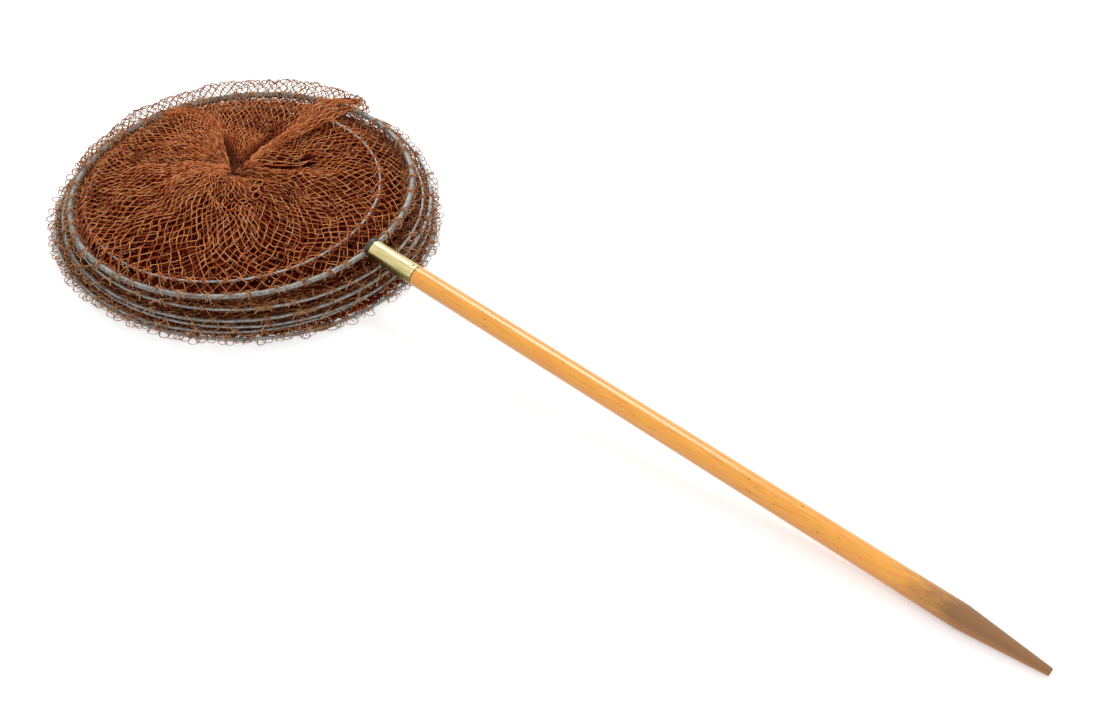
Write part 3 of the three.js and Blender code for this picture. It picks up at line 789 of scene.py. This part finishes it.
# The last stretch of the bag, which fills the hollow under the end panel

# How far out and how high the fold line runs, from the floor hoop up to the end hoop. Its two
# ends follow those hoops.
FILL_PATH = [
    (FLOOR_HOOP.radius - 1, FLOOR_HOOP.height),
    (150, 2.5), (12, 3), (134, 7), (16, 11), (140, 15),
    (26, 20), (140, 25), (50, 29), (138, 34), (144, 41),
    (END_HOOP.radius, END_HOOP.height),
]
FILL_FLATNESS = 0.35
WALL_FOOT_INSET = 33.0
WALL_HEAD_DROP = 8.0
# The layers on the floor: netting heaped there, in thick twine of the darkest copy, painted shade
# that stands for several layers lying in shadow. Name, meshes, rows, twine radius, bow and seed
FLOOR_LAYERS = [
    ("netting_floor", 132, 35, 1.35, 0.6, 43),
    ("netting_over_floor", 116, 29, 1.4, 1.2, 45),
]
# The layers of slack by the lowest hoop: meshes, rows, bow, knots' radius and seed
HEM_LAYERS = [(190, 10, 0.7, 0.0, 30), (130, 7, 1.2, 1.0, 31)]
HEM_TWINE_RADIUS = 0.8


def fill_surface():
    """Netting heaped in folds from the floor hoop up to the end hoop."""
    path = np.array(FILL_PATH, float)
    shares = shares_along(path)
    crumple = Crumple(41, 16, 18.0, 70.0)

    def surface(u, v):
        azimuth = 2 * math.pi * u
        radius = np.interp(v, shares, path[:, 0])
        height = np.interp(v, shares, path[:, 1])
        inner = smooth(v * 12) * smooth((1 - v) * 14)
        wave = 9 * np.sin(3 * azimuth + 8 * v) + 6 * np.sin(7 * azimuth - 11 * v)
        middle = mix(FLOOR_HOOP.middle, END_HOOP.middle, smooth(v)[..., None])
        xy = middle + polar(radius + inner * wave, azimuth)
        lean = END_HOOP.level(xy) / END_HOOP.height
        places = at_height(xy, height * mix(1.0, lean, smooth(height / 20)))
        places = mix(places, crumple(places, 3.2), inner[..., None])
        places[..., 2] = np.maximum(places[..., 2], 1.0)
        return places

    return surface


def floor_surface(u, v):
    """The lowest layer, spread on the floor inside the lowest hoop."""
    azimuth = 2 * math.pi * u
    radius = mix(FLOOR_HOOP.radius - 4, 12.0, v)
    height = 3.2 + 1.4 * np.sin(5 * azimuth + radius / 9) * np.cos(radius / 14)
    return at_height(FLOOR_HOOP.middle + polar(radius, azimuth), height)


def wall_surface(u, v):
    """A layer that hangs inside the stack, from the floor up to the end hoop."""
    azimuth = 2 * math.pi * u
    foot = FLOOR_HOOP.at(azimuth, out=-WALL_FOOT_INSET, up=0.5)
    head = END_HOOP.at(azimuth, up=-WALL_HEAD_DROP)
    places = mix(foot, head, v[..., None])
    inward = 5.0 * np.sin(math.pi * v) + 2.0 * np.sin(13 * azimuth + 7 * v)
    away = unit((places - FLOOR_MIDDLE) * (1, 1, 0))
    return places - away * inward[..., None]


def hem_surface(u, v):
    """Slack netting on the floor just inside the lowest hoop."""
    azimuth = 2 * math.pi * u
    up = 1.5 + 3.5 * np.sin(math.pi * v) + 1.0 * np.sin(17 * azimuth)
    return FLOOR_HOOP.at(azimuth, out=-3.0 - 38.0 * v, up=up)


def make_hem():
    twine = Twine()
    for meshes, rows, bow, knot, seed in HEM_LAYERS:
        Net(hem_surface, meshes, rows, seed).weave(twine, HEM_TWINE_RADIUS, 2, bow=bow, knot=knot)
    add_riding(twine, "netting_hem", SHADED_BAND_TWINE, "floor_hoop")
    for name, meshes, rows, radius, bow, seed in FLOOR_LAYERS:
        twine = Twine()
        Net(floor_surface, meshes, rows, seed).weave(twine, radius, 2, bow=bow)
        add_riding(twine, name, SHADED_DEEP_TWINE, "floor_hoop", "net_end_band")


def make_fill():
    top = END_HOOP.at(ALL_ROUND)[:, 2].min() - 2
    # Name, surface, meshes, rows, seed, twine radius and bow
    layers = [
        ("netting_end_stretch", fill_surface(), 72, 68, 42, DEEP_TWINE_RADIUS, 0.7),
        ("netting_inner_wall", wall_surface, 210, 13, 44, 0.9, 0.6),
    ]
    for name, surface, meshes, rows, seed, radius, bow in layers:
        twine = Twine(flat=FILL_FLATNESS)
        Net(surface, meshes, rows, seed).weave(twine, radius, 2, bow=bow)
        piece = twine.build(name, SHADED_DEEP_TWINE)
        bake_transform(piece)
        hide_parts("net_end_band")


# The end panel, drawn together off its middle: one sheet of netting from the gather to the ring

GATHER = np.array(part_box("net_gather")).mean(axis=0)[:2] / MM
# Round the gather, as far out as this, all is drawn a little to one side
DRAWN_ASIDE = np.array([-16.0, 3.0])
DRAWN_REACH = 120
# The trench behind the gather: half its length and width, and how it is turned
TRENCH = (11.0, 2.5, 40.0)
# How far the sheet's edge lies inside the mouth ring, on the near and the far side
RING_INSET = 8.0
FAR_INSET = 5.0
# Parts of the sheet: their first and last directions, and how soft their edges are
FAR_SIDE, FAN_SIDE, LEFT_SIDE = (96, 262, 12), (92, 200, 5), (170, 262, 16)
NEAR_SIDE, RIGHT_SIDE, OPEN_SIDE = (258, 330, 25), (0, 84, 20), (-96, 88, 1)
# Where the netting gets painted shade, in the valley behind the gather
VALLEY = (98, 152, 4)
# Meshes and rows of the sheet, close and wide. On the open side, the wide ones lie between these
# shares of the way in from the ring.
SHEET_MESHES = 106
SHEET_ROWS = 26
WIDE_MESHES = 62
WIDE_ROWS = 28
OPEN_SHARE = 17 / SHEET_ROWS
LAST_OPEN_SHARE = (SHEET_ROWS - 1.4) / SHEET_ROWS
WIDE_KNOT_RADIUS = 1.05

# How close the meshes lie round the gather, at these directions in degrees
CLOSENESS = [
    (-80, 84), (0, 78), (60, 82), (82, 96), (100, 120), (125, 118), (150, 150),
    (168, 140), (180, 120), (216, 116), (250, 104), (270, 90), (280, 84),
]

# Heights over the end hoop's plane. The first number is 0 at the gather, 1 at the end hoop and 2
# at the ring.
LEFT_PROFILE = [(0, -6), (0.06, -1), (0.16, 5), (0.4, 8.5), (0.75, 8), (1, 5.5), (1.4, 2.5), (2, -4)]
FAN_PROFILE = [
    (0, -19), (0.1, -18), (0.22, -15), (0.36, -9), (0.5, -4),
    (0.7, 1), (0.86, 3), (1, 4.8), (1.4, 3.5), (2, -1),
]
RIGHT_PROFILE = [
    (0, -6), (0.12, -6), (0.35, -7), (0.65, -6),
    (0.85, -4.5), (1, -3.2), (1.3, -4), (2, -7),
]

# Where the left part's rolled edge stands, by distance from the gather
EDGE_DISTANCES = [0, 39, 70, 102, 138, 170]
EDGE_DIRECTIONS = [176, 158, 152, 155, 164, 170]

# The hollow under the leaf and the ridge beside it: direction and width, distance and width, rise
MOUNDS = [((65, 13), (60, 26), -7.0), ((38, 12), (30, 24), 5.0)]

# The slot under the leaf that one looks into: its directions and distances from the gather
SLOT = (57.0, 72.0, 31.0, 88.0)
# Wide round meshes beside the gather: direction and distance of their middles
ROUND_MESHES = [(1, 35), (-18, 48), (-36, 51), (-50, 57), (-12, 38), (-62, 48)]
ROUND_MESH_SIZE = 5.0
ROUND_MESH_TURN = math.radians(36)


def rim_reach(phi, hoop, inset=0.0):
    """Distance from the gather to a hoop's circle, drawn in by inset, along direction phi."""
    away = GATHER - hoop.middle
    along = np.cos(phi) * away[0] + np.sin(phi) * away[1]
    return -along + np.sqrt(along**2 - away @ away + (hoop.radius - inset) ** 2)


def drawn(distance):
    """How far to the side the netting is drawn at a distance from the gather."""
    return DRAWN_ASIDE * smooth(1 - np.asarray(distance) / DRAWN_REACH)[..., None]


def from_gather(phi, distance):
    """Places round the gather, drawn to the side close to it."""
    return GATHER + drawn(distance) + polar(distance, phi)


def over_end_hoop(xy, height):
    """Points at a height over the end hoop's plane."""
    return at_height(xy, END_HOOP.level(xy) + height)


def trench_reach(degrees):
    """The inner edge of the sheet: a narrow trench across the view behind the gather."""
    length, width, turn = TRENCH
    angle = np.radians(degrees - turn)
    return length * width / np.hypot(width * np.cos(angle), length * np.sin(angle))


def direction_of(u):
    """The direction in degrees of a column of meshes, from its share of the way round."""
    directions, closeness = np.array(CLOSENESS, float).T
    grid = np.linspace(directions[0], directions[-1], 721)
    reached = np.cumsum(np.interp(grid, directions, closeness))
    reached = (reached - reached[0]) / (reached[-1] - reached[0])
    whole = np.floor(u)
    return np.interp(u - whole, reached, grid) + 360 * whole


def sheet_height(degrees, place, distance):
    """The sheet's relief: high folds on the left, a dip on the far side, a hollow on the right."""
    edge = np.interp(distance, EDGE_DISTANCES, EDGE_DIRECTIONS)
    turn = (degrees - edge) % 360
    left = smooth(turn / 7 + 0.5) * smooth((286 - edge - turn) / 26 + 0.5)
    left = np.where(turn > 340, smooth((turn - 360) / 7 + 0.5), left)
    fan = (1 - left) * within(degrees, *FAN_SIDE)
    parts = ((left, LEFT_PROFILE), (fan, FAN_PROFILE), (1 - left - fan, RIGHT_PROFILE))
    height = sum(share * np.interp(place, *np.array(points, float).T) for share, points in parts)
    apart = (turn + 180) % 360 - 180
    height = height + 3.5 * hill(apart, 5, 6) * smooth(distance / 50)
    for across, along, rise in MOUNDS:
        height = height + rise * hill(degrees, *across) * hill(distance, *along)
    return height - 6.0 * hill(degrees, 104, 7) * smooth((125 - distance) / 50)


def painted_crease_shade(places):
    """Painted shade on the netting, as a factor: near 0 deep in the valley behind the gather and in
    the groove.
    """
    away = places[..., :2] - GATHER
    away = away - drawn(np.hypot(away[..., 0], away[..., 1]))
    distance = np.hypot(away[..., 0], away[..., 1])
    degrees = np.degrees(np.arctan2(away[..., 1], away[..., 0]))
    reach = 56 + 34 * np.clip(np.abs(degrees - 126) / 22, 0, 1) ** 2
    valley = smooth((reach - distance) / 30) * within(degrees, *VALLEY)
    groove = hill(degrees, 109, 4) * smooth((112 - distance) / 40)
    return 1 - 0.9 * np.maximum(valley, groove)


def sheet_rim(degrees):
    """Distance from the gather of the sheet's outer edge."""
    inset = mix(RING_INSET, FAR_INSET, within(degrees, *FAR_SIDE))
    return rim_reach(np.radians(degrees), MOUTH_RING, inset)


def sheet_distance(degrees, out, widened=0.0):
    """Distance from the gather of a place a share of the way out to the ring."""
    bottom = within(degrees, *NEAR_SIDE)
    right = within(degrees, *RIGHT_SIDE)
    share = out ** (0.96 + 0.3 * bottom - 0.12 * right)
    return mix(trench_reach(degrees) + widened, sheet_rim(degrees), share)


def sheet_surface(crumple, lift=0.0, widened=0.0):
    """The sheet from the ring's edge, at v of 0, to the gather."""

    def surface(u, v):
        degrees = direction_of(u)
        phi = np.radians(degrees)
        out = 1 - v
        inner, outer = rim_reach(phi, END_HOOP), sheet_rim(degrees)
        distance = sheet_distance(degrees, out, widened)
        past = 1 + (distance - inner) / (outer - inner)
        place = np.where(distance < inner, distance / inner, past)
        middle = np.sin(math.pi * np.clip(place, 0, 1))
        left = within(degrees, *LEFT_SIDE)
        pleats = 1.6 * np.sin(13 * phi + 4 * out) + 0.9 * np.sin(29 * phi - 5 * out)
        height = sheet_height(degrees, place, distance) + middle * left * pleats
        height = height + middle * (1 - left) * np.sin(9 * phi + 6 * out)
        places = over_end_hoop(from_gather(phi, distance), height + lift)
        loose = smooth(v * 7) * smooth((1 - v) * 9) * (1 - 0.8 * smooth(1 - np.abs(place - 1) / 0.12))
        return mix(places, crumple(places, 2.4), loose[..., None])

    return surface


def open_side(u):
    """Where the meshes stay wide down to the gather: the near and right sides."""
    return within(direction_of(u), *OPEN_SIDE) > 0.5


def covered(u, v):
    """Where the sheet is closed: not in the slot nor in the round meshes that one looks into."""
    degrees = direction_of(u)
    distance = sheet_distance(degrees, 1 - v)
    first, last, near, far = SLOT
    turned = degrees % 360
    opened = (turned > first) & (turned < last) & (distance > near) & (distance < far)
    places = from_gather(np.radians(degrees), distance)
    for direction, reach in ROUND_MESHES:
        middle = from_gather(math.radians(direction), reach)
        opened = opened | (np.linalg.norm(places - middle, axis=-1) < ROUND_MESH_SIZE + 1)
    return ~opened


def in_close_part(u, v):
    return ((v < OPEN_SHARE) | ~open_side(u)) & covered(u, v)


def in_wide_part(u, v):
    return (v > OPEN_SHARE) & (v < LAST_OPEN_SHARE) & open_side(u) & covered(u, v)


def in_gathered_part(u, v):
    return (v > 0.15) & covered(u, v)


def slot_surface(u, v):
    """A few wide meshes across the slot."""
    first, last, near, far = SLOT
    degrees = mix(first - 2, last + 2, u)
    distance = mix(near - 3, far + 3, v)
    xy = from_gather(np.radians(degrees), distance)
    return over_end_hoop(xy, sheet_height(degrees, distance / 150, distance) + 3.0)


def add_round_meshes(twine):
    rng = np.random.default_rng(58)
    turn = np.linspace(0, 2 * math.pi, 15)
    rightward = np.array([math.cos(ROUND_MESH_TURN), math.sin(ROUND_MESH_TURN)])
    farther = np.array([-rightward[1], rightward[0]])
    paths = []
    for degrees, distance in ROUND_MESHES:
        size = ROUND_MESH_SIZE * rng.uniform(0.85, 1.05)
        stretch = rng.uniform(1.0, 1.35)
        xy = from_gather(math.radians(degrees), distance) + np.outer(np.cos(turn), size * rightward)
        xy = xy + np.outer(np.sin(turn), size * stretch * farther)
        paths.append(over_end_hoop(xy, -4.5 + 1.2 * np.sin(turn + rng.uniform(0, 6))))
    paths = np.array(paths)
    twine.tubes(paths, SHEET_TWINE_RADIUS, rng.uniform(0.6, 1.0, len(paths)))
    tied = paths[:, ::4].reshape(-1, 3)
    twine.knots(tied, WIDE_KNOT_RADIUS, rng.uniform(0.2, 1, len(tied)), 59)


def make_panel():
    surface = sheet_surface(Crumple(51, 14, 36.0, 110.0))
    twine = Twine()
    close = Net(surface, SHEET_MESHES, SHEET_ROWS, 52)
    close.weave(twine, SHEET_TWINE_RADIUS, 4, bow=0.6, knot=0.98, tint=painted_crease_shade, keep=in_close_part)
    gathered = ("end_panel", "net_gather", "gather_tie")
    add_riding(twine, "netting_end_panel", TOP_TWINE, "net_end", *gathered)
    twine = Twine()
    wide = Net(surface, WIDE_MESHES, WIDE_ROWS, 53)
    knot = WIDE_KNOT_RADIUS
    wide.weave(twine, SHEET_TWINE_RADIUS, 6, bow=1.0, knot=knot, tint=painted_crease_shade, keep=in_wide_part)
    add_round_meshes(twine)
    across = Net(slot_surface, 2, 4, 60, closed=False)
    across.weave(twine, SHEET_TWINE_RADIUS, 7, bow=1.0, knot=1.0)
    add_riding(twine, "netting_open_meshes", TOP_TWINE, "net_end", "end_panel")
    twine = Twine()
    below = sheet_surface(Crumple(54, 14, 30.0, 90.0), lift=-3.6, widened=1.0)
    Net(below, 96, 24, 55).weave(twine, 0.6, 3, bow=0.9, knot=0.9, tint=painted_crease_shade, keep=covered)
    add_riding(twine, "netting_under_sheet", SHADED_BAND_TWINE, "net_end")
    twine = Twine()
    deeper = sheet_surface(Crumple(56, 14, 30.0, 90.0), lift=-8.5, widened=1.0)
    Net(deeper, 110, 27, 57).weave(twine, DEEP_TWINE_RADIUS, 2, bow=0.9, keep=in_gathered_part)
    add_riding(twine, "netting_gathered_sheet", SHADED_DEEP_TWINE, "net_end")


# Folds that stand up from the sheet, by distance from the gather: the directions of the far and
# the near edge, and the height over the end hoop's plane
LEAF = [
    (14, 96, 80, -10), (35, 101, 92, -6), (68, 100, 89.5, -1.5), (90, 99, 87, 1.5),
    (110, 101, 85, 3.5), (130, 103, 83.5, 5), (150, 99, 83, 5.5), (166, 87, 84, 5),
]
CURL = [
    (12, 170, 158, -7), (24, 166, 154, -1), (39, 163, 152, 3.5), (70, 158, 148, 7.5),
    (102, 160, 151, 8), (130, 167, 159, 6), (146, 172, 166, 3),
]
# The folds' layers: shape, meshes, rows, seed, lift, arch, share tucked under, and its drop
FOLD_LAYERS = [
    (LEAF, 10, 18, 71, 0.0, 4.0, 0.2, 6.0),
    (LEAF, 11, 17, 73, -1.8, 4.0, 0.15, 6.0),
    (CURL, 9, 17, 77, 0.0, 3.0, 0.35, 14.0),
    (CURL, 10, 16, 79, -1.6, 3.0, 0.35, 13.0),
]


def fold_surface(rows, seed, lift, arch, tuck, drop):
    """A fold between its two edges, arched across and tucked under by a share at the near edge."""
    crumple = Crumple(seed, 12, 14.0, 50.0)
    distances, far, near, heights = np.array(rows, float).T

    def surface(u, v):
        distance = mix(distances[0], distances[-1], 1 - v)
        over = np.minimum(u / (1 - tuck), 1)
        under = np.maximum(u - (1 - tuck), 0) / tuck
        edges = (np.interp(distance, distances, edge) for edge in (far, near))
        degrees = mix(*edges, over)
        bulge = np.sin(math.pi * np.clip(over * 0.8 + 0.08, 0, 1)) ** 0.6 * smooth(over * 1.6)
        ridges = 1.2 * np.cos(2 * math.pi * (over * 1.9 - 0.35))
        relief = smooth(distance / 60) * (arch * bulge + ridges - drop * under)
        height = np.interp(distance, distances, heights) + relief
        xy = from_gather(np.radians(degrees + 5.0 * under), distance)
        return crumple(over_end_hoop(xy, height + lift), 1.4)

    return surface


def make_folds():
    twine = Twine()
    for rows, meshes, mesh_rows, seed, lift, *form in FOLD_LAYERS:
        net = Net(fold_surface(rows, seed, lift, *form), meshes, mesh_rows, seed + 1, closed=False)
        if lift == 0:
            net.weave(twine, SHEET_TWINE_RADIUS, 5, bow=0.6, knot=KNOT_RADIUS)
        else:
            net.weave(twine, BACKING_TWINE_RADIUS, 4, bow=0.7)
    add_riding(twine, "netting_folds", TOP_TWINE, "net_end")


# The see-through fold that stands out past the mouth ring on the far side: its directions, and how
# far out and up from the ring it runs

FRINGE = (87.0, 206.0)
FRINGE_PATH = [
    (-8.0, -3.0), (-3.5, 3.0), (0.5, 4.4), (6.0, 7.0), (13.0, 9.0),
    (18.0, 6.5), (19.5, 1.0), (15.0, -5.0), (8.0, -6.5), (1.0, -3.0),
]


def fringe_surface(seed):
    crumple = Crumple(seed, 14, 16.0, 60.0)
    path = np.array(FRINGE_PATH)
    shares = shares_along(path)

    def surface(u, v):
        degrees = mix(*FRINGE, u)
        size = 0.5 + 0.5 * smooth((degrees - FRINGE[0]) / 7)
        size = size * (1 - 0.62 * smooth((degrees - 158) / 46))
        size = size * (1 + 0.06 * np.sin(np.radians(degrees) * 11 + seed))
        out = np.interp(v, shares, path[:, 0]) * size
        up = np.interp(v, shares, path[:, 1]) * mix(0.6, 1.0, size)
        places = MOUTH_RING.at(np.radians(degrees), out=out, up=up)
        loose = (smooth(v * 6) * smooth((1 - v) * 6))[..., None]
        return mix(places, crumple(places, 1.2), loose)

    return surface


def make_fringe():
    twine = Twine()
    net = Net(fringe_surface(81), 46, 12, 82, closed=False)
    net.weave(twine, BACKING_TWINE_RADIUS, 5, bow=0.9, knot=KNOT_RADIUS)
    add_riding(twine, "netting_far_fold", LIT_EDGE_TWINE, "mouth")


# Twine lashed round the wires

# Lashings on each hoop, and the first one's seed
LASHINGS = [
    ("mouth_ring", 44), ("end_hoop", 60), ("hoop_1", 36), ("hoop_2", 34),
    ("hoop_3", 36), ("hoop_4", 38), ("hoop_5", 40),
]
LASHING_SEED = 91
COIL_TURNS = 1.06
COIL_STEPS = 11
COIL_START = 2.2
# How far a second turn of twine lies from the first
DOUBLED_APART = 1.6
LASHING_KNOT_RADIUS = 1.1

# Small slack loops outside the wires: first and last azimuth, and how far they stand out
LOOPS = {
    "mouth_ring": [(200, 240, 5.0), (14, 80, 5.5)],
    "hoop_1": [(150, 252, 6.0), (14, 84, 6.0)],
    "hoop_2": [(150, 262, 7.0), (6, 86, 6.5)],
    "hoop_3": [(140, 290, 8.0), (0, 88, 7.5)],
    "hoop_4": [(135, 340, 8.0), (0, 92, 7.5)],
    "hoop_5": [(130, 352, 8.5), (0, 92, 7.5)],
}
LOOP_SPACING = 8.5
LOOP_KNOT_RADIUS = 0.8


def coil(hoop, azimuth, lean, clearance):
    """Paths that wind round a hoop's wire at each azimuth, leaning along it by lean."""
    turn = np.linspace(0, 2 * math.pi, COIL_STEPS) * COIL_TURNS + COIL_START
    reach = hoop.wire + clearance
    along = lean[:, None] * (np.linspace(0, 1, COIL_STEPS) - 0.5) / hoop.radius
    return hoop.at(azimuth[:, None] + along, out=reach * np.cos(turn), up=reach * np.sin(turn))


def add_loops(twine, node, rng):
    """Open loops of slack netting that stand out past a wire."""
    hoop = HOOPS[node]
    t = np.linspace(0, 1, 9)
    swell = np.sin(math.pi * t)
    for first, last, size in LOOPS.get(node, []):
        count = int(math.radians(last - first) * hoop.radius / LOOP_SPACING)
        places = (np.arange(count) + rng.uniform(0.1, 0.9, count)) / count
        azimuth = np.radians(mix(first, last, places))[:, None]
        width = rng.uniform(0.8, 1.3, (count, 1)) * LOOP_SPACING / hoop.radius
        reach = rng.uniform(0.4, 1.1, (count, 1)) * size
        lean = rng.uniform(-2.0, 2.0, (count, 1)) / hoop.radius
        along = -0.5 * width * np.cos(math.pi * t) * (1 + 0.35 * swell) + lean * swell
        out = hoop.wire * TIE_INSET + reach * swell**0.8
        up = rng.uniform(-4.0, 4.0, (count, 1)) * swell
        paths = hoop.at(azimuth + along, out=out, up=up)
        twine.tubes(paths, LOOP_TWINE_RADIUS, rng.uniform(0.2, 1, count))
        tied = rng.random(count) < 0.6
        shade = rng.uniform(0.3, 1, tied.sum())
        twine.knots(paths[tied, 3], LOOP_KNOT_RADIUS, shade, 5)


def make_lashing(node, count, seed):
    """Turns of twine where the netting is tied to a hoop, with the bars that cross its wire."""
    hoop = HOOPS[node]
    rng = np.random.default_rng(seed)
    twine = Twine()
    spacing = 2 * math.pi / count
    azimuth = np.arange(count) * spacing + rng.uniform(-0.3, 0.3, count) * spacing
    lean = rng.uniform(-4.5, 4.5, count)
    turns = coil(hoop, azimuth, lean, 0.45)
    twine.tubes(turns, LASHING_TWINE_RADIUS, rng.uniform(0.2, 1, count))
    doubled = azimuth[rng.random(count) < 0.5] + DOUBLED_APART / hoop.radius
    turns = coil(hoop, doubled, rng.uniform(-3, 3, len(doubled)), 0.5)
    twine.tubes(turns, LASHING_TWINE_RADIUS, rng.uniform(0.2, 1, len(doubled)))
    tied = hoop.at(azimuth, out=-hoop.wire * 0.5, up=hoop.wire + 0.5)
    twine.knots(tied, LASHING_KNOT_RADIUS, rng.uniform(0.3, 1, count), seed)
    t = np.linspace(-1, 1, 8)
    up = (hoop.wire + 0.9) * (1 - np.abs(t) ** 2.4) - 1.2 * t**2
    for side in (-1, 1):
        swing = side * rng.uniform(5.0, 11.0, (count, 1)) * t / hoop.radius
        out = t * rng.uniform(4.0, 7.5, (count, 1)) - 1.0
        paths = hoop.at(azimuth[:, None] + swing, out=out, up=up)
        twine.tubes(paths, LASHING_TWINE_RADIUS, rng.uniform(0.3, 1, count))
    add_loops(twine, node, rng)
    finished = TOP_TWINE if node == "end_hoop" else LIT_EDGE_TWINE
    add_riding(twine, f"{node}_lashing", finished, BODY_OF_HOOP[node])


# Staging

# Name, place in metres, size and power of each lamp
LAMPS = [("key", (-1.0, 1.4, 2.4), 1.2, 26), ("fill", (1.6, -1.0, 2.4), 1.6, 11)]
# What the lamps aim at lies this far along the stick from the floor hoop's middle, in metres
LAMP_AIM = Vector((0.1, 0, 0))
FLOOR_SIZE = 14.0
FLOOR_COLOUR = (0.86, 0.86, 0.86, 1)
FLOOR_GLOW = 0.4
WHITE = (1, 1, 1, 1)
# The background's strength as light on the object. What the camera sees of it has strength 1.
WORLD_LIGHT = 0.7


def make_camera():
    azimuth, pitch, roll = (math.radians(a) for a in (CAMERA_AZIMUTH, CAMERA_PITCH, CAMERA_ROLL))
    flat = math.cos(pitch)
    ahead = Vector((math.cos(azimuth) * flat, math.sin(azimuth) * flat, -math.sin(pitch)))
    level_right = Vector((math.sin(azimuth), -math.cos(azimuth), 0))
    level_up = level_right.cross(ahead)
    right = level_right * math.cos(roll) + level_up * math.sin(roll)
    up = level_up * math.cos(roll) - level_right * math.sin(roll)
    data = bpy.data.cameras.new("camera")
    data.lens = LENS_MM
    data.sensor_width = SENSOR_MM
    data.sensor_fit = "HORIZONTAL"
    data.clip_end = CAMERA_REACH
    camera = in_scene("camera", data)
    turn = Matrix((right, up, -ahead)).transposed()
    place = (Vector(FLOOR_MIDDLE) + Vector(CAMERA_OFFSET)) * MM
    camera.matrix_world = Matrix.Translation(place) @ turn.to_4x4()
    bpy.context.scene.camera = camera


def make_lamp(name, place, size, power):
    data = bpy.data.lights.new(name, "AREA")
    data.shape = "DISK"
    data.size = size
    data.energy = power
    lamp = in_scene(name, data)
    lamp.location = place
    aim = Vector(FLOOR_MIDDLE) * MM + LAMP_AIM - Vector(place)
    lamp.rotation_euler = aim.to_track_quat("-Z", "Y").to_euler()


def seen_rays(tree):
    """1 for the rays that show the background: straight, mirrored or through glass."""
    seen = given(tree, "LightPath", "Is Camera Ray")
    for kind in ("Is Glossy Ray", "Is Transmission Ray"):
        seen = calculated(tree, "MAXIMUM", seen, given(tree, "LightPath", kind))
    return seen


def make_world():
    world = bpy.data.worlds.new("studio")
    bpy.context.scene.world = world
    world.use_nodes = True
    tree = world.node_tree
    background = tree.nodes["Background"]
    background.inputs["Color"].default_value = WHITE
    strength = spread(tree, seen_rays(tree), 0.0, 1.0, WORLD_LIGHT, 1.0)
    tree.links.new(strength, background.inputs["Strength"])


def make_floor():
    """A pale floor whose glow, for the rays that show it, brings it up to white."""
    mesh = bpy.data.meshes.new("floor")
    half = FLOOR_SIZE / 2
    corners = [(-half, -half, 0), (half, -half, 0), (half, half, 0), (-half, half, 0)]
    mesh.from_pydata(corners, [], [(0, 1, 2, 3)])
    floor = in_scene("floor", mesh)
    made, tree, shader = material(
        "floor", Roughness=0.9, Specular_IOR_Level=0.1, Base_Color=FLOOR_COLOUR, Emission_Color=WHITE
    )
    glow = spread(tree, seen_rays(tree), 0.0, 1.0, 0.0, FLOOR_GLOW)
    tree.links.new(glow, shader.inputs["Emission Strength"])
    mesh.materials.append(made)


make_camera()
make_world()
for lamp_settings in LAMPS:
    make_lamp(*lamp_settings)
make_floor()
paint_cad()
for band_number, band in enumerate(BANDS, start=1):
    make_band(band_number, *band)
make_hem()
make_fill()
make_panel()
make_folds()
make_fringe()
for lashing_seed, lashing in enumerate(LASHINGS, start=LASHING_SEED):
    make_lashing(*lashing, lashing_seed)

bpy.context.scene.view_settings.view_transform = "Standard"
